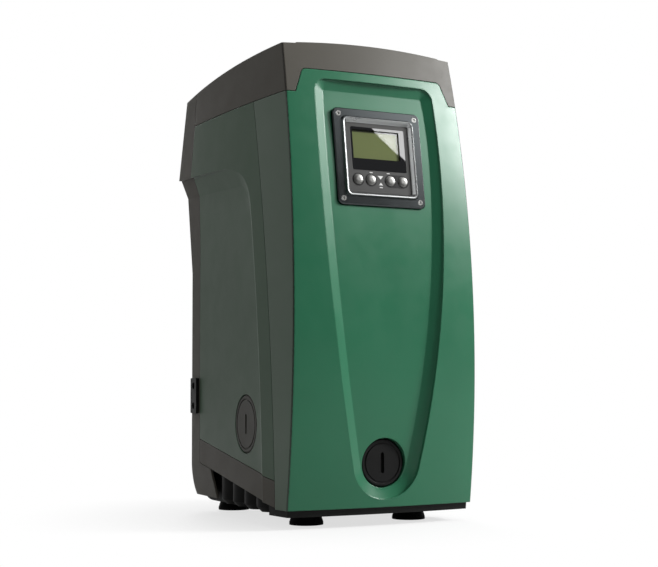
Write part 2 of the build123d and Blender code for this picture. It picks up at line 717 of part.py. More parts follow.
def tray_form(inset):
    """The tray's outer form, set in beside the ribs."""
    waist = SIDE_FLOOR_X - TRAY_INSET - RIB_DEPTH - inset
    with BuildPart() as form:
        add(cabinet(TRAY_INSET + inset))
        with BuildSketch():
            with Locations((-waist, RIB_FRONT_Y - inset)):
                Rectangle(RIB_DEPTH * 2, HEIGHT, align=(Align.MAX, Align.MIN))
            with Locations((waist, RIB_FRONT_Y - inset)):
                Rectangle(RIB_DEPTH * 2, HEIGHT, align=(Align.MIN, Align.MIN))
        extrude(amount=HEIGHT, mode=Mode.SUBTRACT)
    return form.part


TRAY_HOLLOW = under_skirt(TRAY_UPSTAND + 1).translate((0, -WALL, TRAY_FLOOR)) & tray_form(WALL)
TRAY_SHELL = (tray_form(0) & under_skirt(TRAY_UPSTAND)) - TRAY_HOLLOW

with BuildPart() as tray_ribs:
    with BuildSketch(Plane.XY.offset(TRAY_Z)):
        for step in range(RIBS):
            y = RIB_FRONT_Y + step * RIB_PITCH
            x = SIDE_FLOOR_X - RIB_R - TRAY_INSET - (y - SIDE_PLUG_Y) * sin(radians(SIDE_FLOOR_TILT))
            with Locations((-x, y), (x, y)):
                Circle(RIB_R)
    extrude(amount=SKIRT_REAR_Z)
    chamfer(tray_ribs.edges().group_by(Axis.Z)[0], RIB_CHAMFER)
    add(under_skirt(TRAY_UPSTAND), mode=Mode.INTERSECT)
    add(TRAY_HOLLOW, mode=Mode.SUBTRACT)

with BuildPart() as base_tray:
    add(TRAY_SHELL)
    add(tray_ribs.part)
    with BuildSketch(Plane.XY.offset(TRAY_Z)):
        with Locations(*FOOT_PLACES):
            Circle(INSERT_R + WALL)
    extrude(amount=INSERT_HEIGHT + WALL)
    with BuildSketch(Plane.XY.offset(TRAY_Z - 1)):
        with Locations(*FOOT_PLACES):
            Circle(INSERT_R + FIT)
    extrude(amount=INSERT_HEIGHT + 1, mode=Mode.SUBTRACT)
base_tray.part.label = "base_tray"
export_step(base_tray.part, "parts/base_tray.step")

UPWARD = (Align.CENTER, Align.CENTER, Align.MIN)
with BuildPart() as foot_inserts:
    with Locations(*[(x, y, TRAY_Z) for x, y in FOOT_PLACES]):
        Cylinder(INSERT_R, INSERT_HEIGHT, align=UPWARD)
        Cylinder(STUD_R + SHAFT_CLEAR, INSERT_HEIGHT, align=UPWARD, mode=Mode.SUBTRACT)
foot_inserts.part.label = "foot_inserts"
export_step(foot_inserts.part, "parts/foot_inserts.step")

for name, (x, y) in zip(FOOT_NAMES, FOOT_PLACES):
    with BuildPart() as foot:
        with BuildSketch(Plane.XZ.offset(-y)):
            with BuildLine():
                Polyline((x, 0), (x + FOOT_R, 0), (x + FOOT_R, 3), (x + FOOT_TOP_R, TRAY_Z - CLEAR),
                         (x + STUD_R, TRAY_Z - CLEAR), (x + STUD_R, TRAY_Z + STUD_LENGTH),
                         (x, TRAY_Z + STUD_LENGTH), close=True)
            make_face()
        revolve(axis=Axis((x, y, 0), (0, 0, 1)))
    foot.part.label = name
    export_step(foot.part, f"parts/{name}.step")

# ---------------------------------------------------------------- display module

with BuildPart() as display_bezel:
    with BuildSketch(BEZEL_PLANE.offset(-BEZEL_DEPTH)):
        RectangleRounded(BEZEL_SIDE, BEZEL_SIDE, BEZEL_R)
    extrude(amount=BEZEL_DEPTH)
    chamfer(display_bezel.faces().sort_by(OUTWARD)[-1].edges(), 1)
    with BuildSketch(BEZEL_PLANE.offset(-1)):
        RectangleRounded(RIDGE_SIDE, RIDGE_SIDE, BEZEL_R)
    extrude(amount=RIDGE_HEIGHT + 1, taper=RIDGE_TAPER)
    with BuildSketch(BEZEL_PLANE.offset(CUT / 2)):
        RectangleRounded(BEZEL_OPENING, BEZEL_OPENING, BEZEL_R - 2)
    extrude(amount=-CUT, mode=Mode.SUBTRACT)
    with BuildSketch(BEZEL_PLANE.offset(-SCREW_HEAD_H)):
        with corners(SCREW_PITCH):
            Circle(SCREW_HEAD_R + CLEAR)
    extrude(amount=CUT / 2, mode=Mode.SUBTRACT)
    with BuildSketch(BEZEL_PLANE):
        with corners(SCREW_PITCH):
            Circle(SCREW_SHANK_R + FIT)
    extrude(amount=-CUT, mode=Mode.SUBTRACT)
display_bezel.part.label = "display_bezel"
export_step(display_bezel.part, "parts/display_bezel.step")

with BuildPart() as bezel_screws:
    with BuildSketch(BEZEL_PLANE.offset(-SCREW_HEAD_H)):
        with corners(SCREW_PITCH):
            Circle(SCREW_HEAD_R)
    extrude(amount=SCREW_HEAD_H)
    with BuildSketch(BEZEL_PLANE):
        with corners(SCREW_PITCH):
            RegularPolygon(SCREW_HEAD_R / 2, HEX)
    extrude(amount=-SCREW_HEAD_H / 2, mode=Mode.SUBTRACT)
    with BuildSketch(BEZEL_PLANE.offset(-SCREW_HEAD_H)):
        with corners(SCREW_PITCH):
            Circle(SCREW_SHANK_R)
    extrude(amount=-SCREW_LENGTH + SCREW_HEAD_H)
bezel_screws.part.label = "bezel_screws"
export_step(bezel_screws.part, "parts/bezel_screws.step")

with BuildPart() as display_module:
    with BuildSketch(BEZEL_PLANE.offset(-BEZEL_DEPTH - CLEAR)):
        RectangleRounded(WINDOW_SIDE - 2 * CLEAR, WINDOW_SIDE - 2 * CLEAR, MODULE_R)
    extrude(amount=-MODULE_DEPTH)
    with BuildSketch(BEZEL_PLANE.offset(-BEZEL_DEPTH - CLEAR)):
        inside = WINDOW_SIDE - 2 * CLEAR - 2 * WALL
        RectangleRounded(inside, inside, MODULE_R - WALL)
    extrude(amount=-MODULE_DEPTH + WALL, mode=Mode.SUBTRACT)
    with BuildSketch(BEZEL_PLANE.offset(-BEZEL_DEPTH - CLEAR)):
        Rectangle(BEZEL_OPENING - 2 * CLEAR, BEZEL_OPENING - 2 * CLEAR)
        with Locations((0, GLASS_RISE)):
            Rectangle(GLASS_WIDTH - 2 * WALL, GLASS_HEIGHT - 2 * WALL, mode=Mode.SUBTRACT)
        with Locations(*[(x, BUTTON_DROP) for x in BUTTON_PLACES.values()]):
            Circle(BUTTON_R - 1, mode=Mode.SUBTRACT)
    extrude(amount=-WALL / 2)
display_module.part.label = "display_module"
export_step(display_module.part, "parts/display_module.step")

FASCIA_BACK = -BEZEL_DEPTH
with BuildPart() as keypad_fascia:
    with BuildSketch(BEZEL_PLANE.offset(FASCIA_BACK)):
        RectangleRounded(BEZEL_OPENING - 2 * CLEAR, BEZEL_OPENING - 2 * CLEAR, BEZEL_R - 2)
    extrude(amount=FASCIA_DEPTH)
    with BuildSketch(BEZEL_PLANE.offset(FASCIA_BACK + FASCIA_DEPTH - GLASS_DEPTH)):
        with Locations((0, GLASS_RISE)):
            RectangleRounded(GLASS_WIDTH + 2 * CLEAR, GLASS_HEIGHT + 2 * CLEAR, 2)
    extrude(amount=CUT / 2, mode=Mode.SUBTRACT)
    with BuildSketch(BEZEL_PLANE.offset(FASCIA_BACK)):
        with Locations(LCD_OFFSET):
            Rectangle(LCD_WIDTH + 2 * CLEAR, LCD_HEIGHT + 2 * CLEAR)
    extrude(amount=CUT / 2, mode=Mode.SUBTRACT)
    with BuildSketch(BEZEL_PLANE.offset(FASCIA_BACK + BUTTON_FLANGE + BUTTON_TRAVEL + CLEAR)):
        with Locations(*[(x, BUTTON_DROP) for x in BUTTON_PLACES.values()]):
            Circle(BUTTON_R + CLEAR)
    extrude(amount=CUT / 2, mode=Mode.SUBTRACT)
    with BuildSketch(BEZEL_PLANE.offset(FASCIA_BACK)):
        with Locations(*[(x, BUTTON_DROP) for x in BUTTON_PLACES.values()]):
            Circle(BUTTON_R + 2 * CLEAR + BUTTON_FLANGE)
    extrude(amount=BUTTON_FLANGE + BUTTON_TRAVEL + CLEAR, mode=Mode.SUBTRACT)
keypad_fascia.part.label = "keypad_fascia"
export_step(keypad_fascia.part, "parts/keypad_fascia.step")

with BuildPart() as display_glass:
    with BuildSketch(BEZEL_PLANE.offset(FASCIA_BACK + FASCIA_DEPTH - GLASS_DEPTH + FIT)):
        with Locations((0, GLASS_RISE)):
            RectangleRounded(GLASS_WIDTH, GLASS_HEIGHT, 2)
    extrude(amount=GLASS_DEPTH)
display_glass.part.label = "display_glass"
export_step(display_glass.part, "parts/display_glass.step")

with BuildPart() as lcd_panel:
    with BuildSketch(BEZEL_PLANE.offset(FASCIA_BACK)):
        with Locations(LCD_OFFSET):
            Rectangle(LCD_WIDTH, LCD_HEIGHT)
    extrude(amount=LCD_DEPTH)
lcd_panel.part.label = "lcd_panel"
export_step(lcd_panel.part, "parts/lcd_panel.step")

for name, x in BUTTON_PLACES.items():
    with BuildPart() as button:
        with BuildSketch(BEZEL_PLANE.offset(FASCIA_BACK + BUTTON_TRAVEL + FIT)):
            with Locations((x, BUTTON_DROP)):
                Circle(BUTTON_R + BUTTON_FLANGE)
        extrude(amount=BUTTON_FLANGE)
        with BuildSketch(BEZEL_PLANE.offset(FASCIA_BACK + BUTTON_TRAVEL + FIT)):
            with Locations((x, BUTTON_DROP)):
                Circle(BUTTON_R)
        extrude(amount=FASCIA_DEPTH + BUTTON_PROUD - BUTTON_TRAVEL)
        fillet(button.faces().sort_by(OUTWARD)[-1].edges(), BUTTON_EDGE)
    button.part.label = name
    export_step(button.part, f"parts/{name}.step")

# ---------------------------------------------------------------- screw plugs


def screw_plug(face, radius):
    """A round plug with a coin slot, its flange in the cover and its stem behind."""
    with BuildPart() as plug:
        with BuildSketch(face.offset(-PLUG_FLANGE)):
            Circle(radius)
        extrude(amount=PLUG_FLANGE)
        outer = plug.faces().sort_by(Axis(face.origin, face.z_dir))[-1]
        chamfer(outer.edges(), EDGE)
        with BuildSketch(face.offset(-PLUG_GROOVE_DEPTH)):
            Circle(radius - PLUG_RIM)
            Circle(radius - PLUG_RIM - PLUG_GROOVE, mode=Mode.SUBTRACT)
        extrude(amount=PLUG_FLANGE, mode=Mode.SUBTRACT)
        with BuildSketch(face.offset(-PLUG_FLANGE)):
            Circle(radius - PLUG_STEM_STEP)
        extrude(amount=-PLUG_STEM_DEPTH)
        with BuildSketch(face.offset(-SLOT_DEPTH)):
            SlotOverall(SLOT_LENGTH, SLOT_WIDTH, rotation=90)
        extrude(amount=CUT / 2, mode=Mode.SUBTRACT)
    return plug.part


def plug_seal(face, radius):
    """The flat ring that the plug's flange presses on its seat."""
    with BuildPart() as seal:
        with BuildSketch(face.offset(-PLUG_FLANGE - SEAL_SECTION + FIT)):
            Circle(radius - 1)
            Circle(radius - PLUG_STEM_STEP + CLEAR, mode=Mode.SUBTRACT)
        extrude(amount=SEAL_SECTION - 2 * FIT)
    return seal.part


PLUGS = {"front_plug": (PLUG_PLANE, FRONT_PLUG_R), "side_plug": (SIDE_PLUG_PLANE, SIDE_PLUG_R)}
for name, (face, radius) in PLUGS.items():
    plug = screw_plug(face, radius)
    plug.label = name
    export_step(plug, f"parts/{name}.step")
    seal = plug_seal(face, radius)
    seal.label = name + "_seal"
    export_step(seal, f"parts/{name}_seal.step")

# ---------------------------------------------------------------- motor


def across(y):
    """A plane square to the pump's axis, looking toward the rear."""
    return Plane(origin=(0, y, AXIS_Z), x_dir=(-1, 0, 0), z_dir=(0, 1, 0))


def rod(front, rear, radius):
    """A plain cylinder on the pump's axis."""
    with BuildPart() as bar:
        with BuildSketch(across(front)):
            Circle(radius)
        extrude(amount=rear - front)
    return bar.part


def ring(front, rear, outer, inner):
    """A plain ring on the pump's axis."""
    with BuildPart() as band:
        with BuildSketch(across(front)):
            Circle(outer)
            Circle(inner, mode=Mode.SUBTRACT)
        extrude(amount=rear - front)
    return band.part


JACKET_R = BARREL_R - BARREL_WALL
STATOR_FRONT_Y = MOTOR_FRONT_Y + BELL_DEPTH + WINDING_DEPTH
STATOR_REAR_Y = STATOR_FRONT_Y + STATOR_LENGTH
BELL_FRONT_Y = MOTOR_FRONT_Y - BELL_DEPTH
BRACKET_Y = MOTOR_REAR_Y - BELL_DEPTH
STATOR_BORE_R = ROTOR_R + AIR_GAP

with BuildPart() as motor_jacket:
    add(ring(MOTOR_FRONT_Y, MOTOR_REAR_Y, BARREL_R, JACKET_R))
    with BuildSketch(across(MOTOR_FRONT_Y + WALL)):
        with PolarLocations(BARREL_R, FINS):
            Rectangle(FIN_DEPTH * 2, WALL)
        Circle(BARREL_R - WALL / 2, mode=Mode.SUBTRACT)
    extrude(amount=STATOR_LENGTH + WINDING_DEPTH)
motor_jacket.part.label = "motor_jacket"
export_step(motor_jacket.part, "parts/motor_jacket.step")

SLOT_RADIUS = (JACKET_R + STATOR_BORE_R) / 2
SLOT_REACH = JACKET_R - STATOR_BORE_R - 2 * WALL
with BuildPart() as stator_core:
    add(ring(STATOR_FRONT_Y, STATOR_REAR_Y, JACKET_R - FIT, STATOR_BORE_R))
    with BuildSketch(across(STATOR_FRONT_Y)):
        with PolarLocations(SLOT_RADIUS, STATOR_SLOTS):
            SlotOverall(SLOT_REACH, WINDING_WIDTH)
    extrude(amount=STATOR_LENGTH, mode=Mode.SUBTRACT)
stator_core.part.label = "stator_core"
export_step(stator_core.part, "parts/stator_core.step")

with BuildPart() as stator_windings:
    add(ring(STATOR_FRONT_Y - WINDING_DEPTH + CLEAR, STATOR_FRONT_Y, JACKET_R - 2 * WALL,
             STATOR_BORE_R + WALL))
    add(ring(STATOR_REAR_Y, STATOR_REAR_Y + WINDING_DEPTH, JACKET_R - 2 * WALL, STATOR_BORE_R + WALL))
    with BuildSketch(across(STATOR_FRONT_Y - 1)):
        with PolarLocations(SLOT_RADIUS, STATOR_SLOTS):
            SlotOverall(SLOT_REACH - 2 * CLEAR, WINDING_WIDTH - 2 * CLEAR)
    extrude(amount=STATOR_LENGTH + 2)
stator_windings.part.label = "stator_windings"
export_step(stator_windings.part, "parts/stator_windings.step")


with BuildPart() as motor_end_bell:
    add(ring(BELL_FRONT_Y, MOTOR_FRONT_Y, BARREL_R, BEARING_R + FIT))
    add(ring(MOTOR_FRONT_Y, MOTOR_FRONT_Y + BELL_DEPTH, JACKET_R - FIT, JACKET_R - WALL))
    add(ring(BELL_FRONT_Y + WALL, MOTOR_FRONT_Y + CLEAR, JACKET_R - WALL, BEARING_R + WALL),
        mode=Mode.SUBTRACT)
motor_end_bell.part.label = "motor_end_bell"
export_step(motor_end_bell.part, "parts/motor_end_bell.step")

with BuildPart() as bearing_bracket:
    add(ring(BRACKET_Y, MOTOR_REAR_Y, JACKET_R - FIT, BEARING_R + FIT))
    add(ring(MOTOR_REAR_Y, MOTOR_REAR_Y + WALL, BARREL_R, SEAL_R + FIT))
bearing_bracket.part.label = "bearing_bracket"
export_step(bearing_bracket.part, "parts/bearing_bracket.step")

BEARING_FRONTS = {"front_bearing": BELL_FRONT_Y, "rear_bearing": BRACKET_Y}
for name, y in BEARING_FRONTS.items():
    bearing = ring(y, y + BEARING_WIDTH, BEARING_R, SHAFT_R + SHAFT_CLEAR)
    bearing.label = name
    export_step(bearing, f"parts/{name}.step")

with BuildPart() as mechanical_seal:
    add(ring(MOTOR_REAR_Y, MOTOR_REAR_Y + WALL, SEAL_R, SHAFT_R + SHAFT_CLEAR))
    add(ring(MOTOR_REAR_Y + WALL, MOTOR_REAR_Y + WALL + SEAL_FACE, SEAL_R - WALL / 2,
             SHAFT_R + SHAFT_CLEAR))
mechanical_seal.part.label = "mechanical_seal"
export_step(mechanical_seal.part, "parts/mechanical_seal.step")

# ---------------------------------------------------------------- turning parts

FIRST_STAGE_Y = MOTOR_REAR_Y + WALL + SEAL_FACE + RUN_CLEAR
SHAFT_END_Y = FIRST_STAGE_Y + STAGES * STAGE_PITCH + WALL
with BuildPart() as pump_shaft:
    with BuildSketch(across(BELL_FRONT_Y - SHAFT_STUB)):
        Circle(SHAFT_R)
    extrude(amount=SHAFT_END_Y - BELL_FRONT_Y + SHAFT_STUB)
    chamfer(pump_shaft.edges().filter_by(GeomType.CIRCLE), SHAFT_CHAMFER)
    with BuildSketch(across(BELL_FRONT_Y - SHAFT_STUB)):
        Rectangle(SHAFT_SLOT[0], SHAFT_SLOT[1])
    extrude(amount=SHAFT_SLOT[2], mode=Mode.SUBTRACT)
pump_shaft.part.label = "pump_shaft"
export_step(pump_shaft.part, "parts/pump_shaft.step")

with BuildPart() as rotor_core:
    add(ring(STATOR_FRONT_Y, STATOR_FRONT_Y + ROTOR_LENGTH, ROTOR_R, SHAFT_R))
    fillet(rotor_core.edges().filter_by(GeomType.CIRCLE).sort_by(SortBy.RADIUS)[-2:], EDGE)
rotor_core.part.label = "rotor_core"
export_step(rotor_core.part, "parts/rotor_core.step")


def impeller(front):
    """A closed wheel with backward curved blades, its eye toward the rear."""
    hub_r = SHAFT_R + WALL
    tip = (IMPELLER_R * cos(BLADE_SWEEP), IMPELLER_R * sin(BLADE_SWEEP))
    blade = RadiusArc((hub_r, 0), tip, -BLADE_BEND)
    with BuildPart() as wheel:
        with BuildSketch(across(front)):
            Circle(IMPELLER_R)
            Circle(SHAFT_R, mode=Mode.SUBTRACT)
        extrude(amount=IMPELLER_PLATE)
        with BuildSketch(across(front)):
            Circle(hub_r)
            Circle(SHAFT_R, mode=Mode.SUBTRACT)
        extrude(amount=STAGE_PITCH - RUN_CLEAR)
        with BuildSketch(across(front)):
            with PolarLocations(0, BLADES):
                SlotArc(blade, BLADE_THICK)
            Circle(SHAFT_R, mode=Mode.SUBTRACT)
        extrude(amount=IMPELLER_DEPTH)
        with BuildSketch(across(front + IMPELLER_DEPTH)):
            Circle(IMPELLER_R)
            Circle(IMPELLER_EYE_R, mode=Mode.SUBTRACT)
        extrude(amount=-IMPELLER_PLATE)
    return wheel.part


STAGE_FRONTS = [FIRST_STAGE_Y + stage * STAGE_PITCH for stage in range(STAGES)]
with BuildPart() as impellers:
    for front in STAGE_FRONTS:
        add(impeller(front))
impellers.part.label = "impellers"
export_step(impellers.part, "parts/impellers.step")

# ---------------------------------------------------------------- pump casing

CASING_R = BARREL_R - WALL
LAST_STAGE_Y = FIRST_STAGE_Y + STAGES * STAGE_PITCH
COVER_Y = LAST_STAGE_Y + 2 * WALL

with BuildPart() as diffusers:
    for front in STAGE_FRONTS:
        behind = front + IMPELLER_DEPTH + RUN_CLEAR
        add(ring(behind, front + STAGE_PITCH - 2 * RUN_CLEAR, CASING_R - FIT, IMPELLER_R + RUN_CLEAR))
        add(ring(behind, behind + DIFFUSER_WALL, IMPELLER_R + WALL, IMPELLER_EYE_R))
diffusers.part.label = "diffusers"
export_step(diffusers.part, "parts/diffusers.step")

with BuildPart() as pump_casing:
    add(rod(MOTOR_REAR_Y + WALL, COVER_Y, BARREL_R))
    with BuildSketch(Plane.XY.offset(AXIS_Z)):
        with Locations((-DISCHARGE_X, DISCHARGE_Y)):
            Circle(PIPE_R + WALL)
    extrude(amount=DISCHARGE_Z - AXIS_Z)
    add(rod(MOTOR_REAR_Y, COVER_Y + 1, CASING_R), mode=Mode.SUBTRACT)
    with BuildSketch(Plane.XY.offset(AXIS_Z)):
        with Locations((-DISCHARGE_X, DISCHARGE_Y)):
            Circle(PIPE_R + FIT)
    extrude(amount=DISCHARGE_Z, mode=Mode.SUBTRACT)
pump_casing.part.label = "pump_casing"
export_step(pump_casing.part, "parts/pump_casing.step")

with BuildPart() as motor_mounts:
    with BuildSketch(Plane.XY.offset(TRAY_Z + TRAY_FLOOR)):
        with Locations((0, MOUNT_FRONT_Y), (0, MOUNT_REAR_Y)):
            RectangleRounded(MOUNT_WIDTH, MOUNT_DEPTH, 4)
    extrude(amount=AXIS_Z - BARREL_R)
    add(rod(MOTOR_FRONT_Y, MOTOR_REAR_Y, BARREL_R + FIN_DEPTH + FIT), mode=Mode.SUBTRACT)
    add(rod(MOTOR_REAR_Y, COVER_Y, BARREL_R + FIT), mode=Mode.SUBTRACT)
motor_mounts.part.label = "motor_mounts"
export_step(motor_mounts.part, "parts/motor_mounts.step")

# ---------------------------------------------------------------- ports and water ways

PORT_INNER_Y = REAR_LOW_Y - WALL - PORT_DEPTH


def tube(points, outer, inner, bend):
    """A pipe with rounded bends through the given points."""
    with BuildLine() as path:
        FilletPolyline(*points, radius=bend)
    with BuildPart() as pipe:
        with BuildSketch(Plane(origin=path.line @ 0, z_dir=path.line % 0)):
            Circle(outer)
            Circle(inner, mode=Mode.SUBTRACT)
        sweep(path=path.line)
    return pipe.part


for name, x in {"inlet_port": -PORT_X, "outlet_port": PORT_X}.items():
    with BuildPart() as port:
        with BuildSketch(REAR_PLANE.offset(-WALL - PORT_DEPTH)):
            with Locations((-x, PORT_Z)):
                Circle(PORT_R)
        extrude(amount=WALL + PORT_DEPTH + COLLAR_PROUD)
        chamfer(port.faces().sort_by(Axis.Y)[-1].edges(), 1)
        with BuildSketch(REAR_PLANE.offset(COLLAR_PROUD - PORT_DEPTH)):
            with Locations((-x, PORT_Z)):
                Circle(PORT_BORE_R)
        extrude(amount=PORT_DEPTH + 1, mode=Mode.SUBTRACT)
        with BuildSketch(REAR_PLANE.offset(-WALL - PORT_DEPTH - 1)):
            with Locations((-x, PORT_Z)):
                Circle(PIPE_R - PIPE_WALL)
        extrude(amount=PORT_DEPTH, mode=Mode.SUBTRACT)
    port.part.label = name
    export_step(port.part, f"parts/{name}.step")

with BuildPart() as port_collars:
    with BuildSketch(REAR_PLANE.offset(-COLLAR_BACK)):
        with Locations(*PORT_PLACES):
            Circle(COLLAR_R)
            Circle(PORT_R + CLEAR, mode=Mode.SUBTRACT)
    extrude(amount=COLLAR_BACK + COLLAR_PROUD)
    outer = port_collars.faces().sort_by(Axis.Y)[-2:]
    chamfer(outer.edges().filter_by(lambda e: e.radius > PORT_R + 1), EDGE)
    with BuildSketch(REAR_PLANE.offset(COLLAR_PROUD / 2)):
        for x, z in PORT_PLACES:
            with Locations((x, z)):
                with PolarLocations(COLLAR_R, COLLAR_NOTCHES, start_angle=180 / COLLAR_NOTCHES):
                    Rectangle(2 * COLLAR_NOTCH_DEPTH, COLLAR_NOTCH_WIDTH)
    extrude(amount=COLLAR_PROUD, mode=Mode.SUBTRACT)
port_collars.part.label = "port_collars"
export_step(port_collars.part, "parts/port_collars.step")


def suction_way(radius):
    """The suction passage: out of the pump's cover, up to the inlet and into its port."""
    rise = Vector(-PORT_X, 0, PORT_Z - AXIS_Z)
    with BuildPart() as way:
        with BuildSketch(across(COVER_Y)):
            Circle(radius)
        extrude(amount=SUCTION_Y - COVER_Y)
        with BuildSketch(Plane(origin=(0, SUCTION_Y, AXIS_Z), z_dir=rise)):
            Circle(radius)
        extrude(amount=rise.length)
        with BuildSketch(Plane(origin=(-PORT_X, SUCTION_Y, PORT_Z), z_dir=(0, 1, 0))):
            Circle(radius)
        extrude(amount=PORT_INNER_Y - CLEAR - SUCTION_Y)
        with Locations((0, SUCTION_Y, AXIS_Z), (-PORT_X, SUCTION_Y, PORT_Z)):
            Sphere(radius)
    return way.part


with BuildPart() as suction_manifold:
    add(rod(COVER_Y, COVER_Y + WALL, BARREL_R))
    add(rod(COVER_Y - WALL, COVER_Y, CASING_R - FIT))
    add(suction_way(PIPE_R))
    add(suction_way(PIPE_R - PIPE_WALL), mode=Mode.SUBTRACT)
    add(rod(COVER_Y - WALL - 1, COVER_Y, IMPELLER_EYE_R), mode=Mode.SUBTRACT)
suction_manifold.part.label = "suction_manifold"
export_step(suction_manifold.part, "parts/suction_manifold.step")

# ---------------------------------------------------------------- check valve

VALVE_FRONT = PLUG_FLANGE + SEAL_SECTION + 2 * WALL
VALVE_FLOOR = VALVE_FRONT + VALVE_LENGTH


def in_valve(depth):
    """A plane square to the side plug's axis, a depth behind its face."""
    return SIDE_PLUG_PLANE.offset(-depth)


VALVE_MIDDLE = in_valve((VALVE_FRONT + VALVE_FLOOR) / 2).origin
with BuildPart() as valve_body:
    with BuildSketch(in_valve(VALVE_FRONT)):
        Circle(VALVE_R)
    extrude(amount=-VALVE_LENGTH)
    with BuildSketch(Plane.XY.offset(VALVE_MIDDLE.Z)):
        with Locations((VALVE_MIDDLE.X, VALVE_MIDDLE.Y)):
            Circle(PIPE_R + WALL)
    extrude(amount=VALVE_R + WALL)
    with BuildSketch(in_valve(VALVE_FRONT)):
        Circle(VALVE_R - VALVE_WALL)
    extrude(amount=-VALVE_LENGTH + VALVE_WALL, mode=Mode.SUBTRACT)
    with BuildSketch(in_valve(VALVE_FRONT)):
        Circle(POPPET_R - VALVE_WALL)
    extrude(amount=-VALVE_LENGTH - 1, mode=Mode.SUBTRACT)
    with BuildSketch(Plane.XY.offset(VALVE_MIDDLE.Z)):
        with Locations((VALVE_MIDDLE.X, VALVE_MIDDLE.Y)):
            Circle(PIPE_R + FIT)
    extrude(amount=VALVE_R + WALL + 1, mode=Mode.SUBTRACT)
valve_body.part.label = "valve_body"
export_step(valve_body.part, "parts/valve_body.step")

with BuildPart() as valve_guide:
    with BuildSketch(in_valve(GUIDE_DEPTH)):
        Circle(VALVE_R - VALVE_WALL - FIT)
        Circle(VALVE_R - 2 * VALVE_WALL, mode=Mode.SUBTRACT)
        with PolarLocations(0, 3):
            with Locations((VALVE_R / 2 - VALVE_WALL / 2, 0)):
                Rectangle(VALVE_R - VALVE_WALL - 1, WALL)
        Circle(STEM_R + WALL)
        Circle(STEM_R + SHAFT_CLEAR, mode=Mode.SUBTRACT)
    extrude(amount=-WALL)
valve_guide.part.label = "valve_guide"
export_step(valve_guide.part, "parts/valve_guide.step")

SEAT_DEPTH = VALVE_FLOOR - VALVE_WALL - CLEAR
with BuildPart() as valve_poppet:
    with BuildSketch(in_valve(SEAT_DEPTH)):
        Circle(POPPET_R)
    extrude(amount=POPPET_DISC)
    with BuildSketch(in_valve(SEAT_DEPTH)):
        Circle(STEM_R)
    extrude(amount=SEAT_DEPTH - GUIDE_DEPTH - WALL + STEM_REACH)
valve_poppet.part.label = "valve_poppet"
export_step(valve_poppet.part, "parts/valve_poppet.step")

# ---------------------------------------------------------------- pipes, vessel and chassis

VALVE_TOP_Z = VALVE_MIDDLE.Z + VALVE_R
ELBOW = in_valve(VALVE_FLOOR + ELBOW_GAP + PIPE_R).origin


def elbow_end(radius, start):
    """The corner where the pipe beside the valve turns into the valve's floor."""
    with BuildPart() as corner:
        with BuildSketch(in_valve(start)):
            Circle(radius)
        extrude(amount=-(VALVE_FLOOR + ELBOW_GAP + PIPE_R - start))
        with Locations(ELBOW):
            Sphere(radius)
        with BuildSketch(Plane.XY.offset(ELBOW.Z)):
            with Locations((ELBOW.X, ELBOW.Y)):
                Circle(radius)
        extrude(amount=ELBOW_BEND)
    return corner.part


with BuildPart() as discharge_elbow:
    add(tube([(-DISCHARGE_X, DISCHARGE_Y, DISCHARGE_Z - WALL), (-DISCHARGE_X, DISCHARGE_Y, ELBOW_Z),
              (-DISCHARGE_X, ELBOW.Y, ELBOW_Z), (ELBOW.X, ELBOW.Y, ELBOW_Z),
              (ELBOW.X, ELBOW.Y, ELBOW.Z + ELBOW_BEND)], PIPE_R, PIPE_R - PIPE_WALL, ELBOW_BEND))
    add(elbow_end(PIPE_R, VALVE_FLOOR + CLEAR))
    add(elbow_end(PIPE_R - PIPE_WALL, VALVE_FLOOR), mode=Mode.SUBTRACT)
discharge_elbow.part.label = "discharge_elbow"
export_step(discharge_elbow.part, "parts/discharge_elbow.step")

with BuildPart() as discharge_pipe:
    rise = [(VALVE_MIDDLE.X, VALVE_MIDDLE.Y, z) for z in (VALVE_TOP_Z - WALL, LOOP_Z)]
    across_back = [(VALVE_MIDDLE.X, VESSEL_Y, LOOP_Z), (PORT_X, VESSEL_Y, LOOP_Z)]
    fall = [(PORT_X, SUCTION_Y, z) for z in (LOOP_Z, PORT_Z + PIPE_R)]
    add(tube(rise + across_back + fall, PIPE_R, PIPE_R - PIPE_WALL, PIPE_BEND))
    with BuildSketch(Plane(origin=(PORT_X, PORT_INNER_Y - CLEAR, PORT_Z), z_dir=(0, -1, 0))):
        Circle(PIPE_R + PIPE_WALL)
    extrude(amount=PORT_INNER_Y - CLEAR - SUCTION_Y + PIPE_R)
    with BuildSketch(Plane(origin=(PORT_X, PORT_INNER_Y, PORT_Z), z_dir=(0, -1, 0))):
        Circle(PIPE_R - PIPE_WALL)
    extrude(amount=PORT_INNER_Y - SUCTION_Y + PIPE_R - PIPE_WALL, mode=Mode.SUBTRACT)
discharge_pipe.part.label = "discharge_pipe"
export_step(discharge_pipe.part, "parts/discharge_pipe.step")


def vessel(inset):
    """The pressure vessel turned about its own axis, smaller all round by inset."""
    low = VESSEL_Z + inset
    high = VESSEL_Z + VESSEL_HEIGHT - inset
    radius = VESSEL_R - inset
    with BuildPart() as turned:
        with BuildSketch(Plane.XZ.offset(-VESSEL_Y)):
            with BuildLine():
                Line((0, low), (NOZZLE_R, low))
                shoulder = radius * DOME_AT
                rise = DOME * DOME_RISE
                ThreePointArc((NOZZLE_R, low), (shoulder, low + rise), (radius, low + DOME))
                Line((radius, low + DOME), (radius, high - DOME))
                ThreePointArc((radius, high - DOME), (shoulder, high - rise), (NOZZLE_R, high))
                Polyline((NOZZLE_R, high), (0, high), (0, low))
            make_face()
        revolve(axis=Axis((0, VESSEL_Y, 0), (0, 0, 1)))
    return turned.part


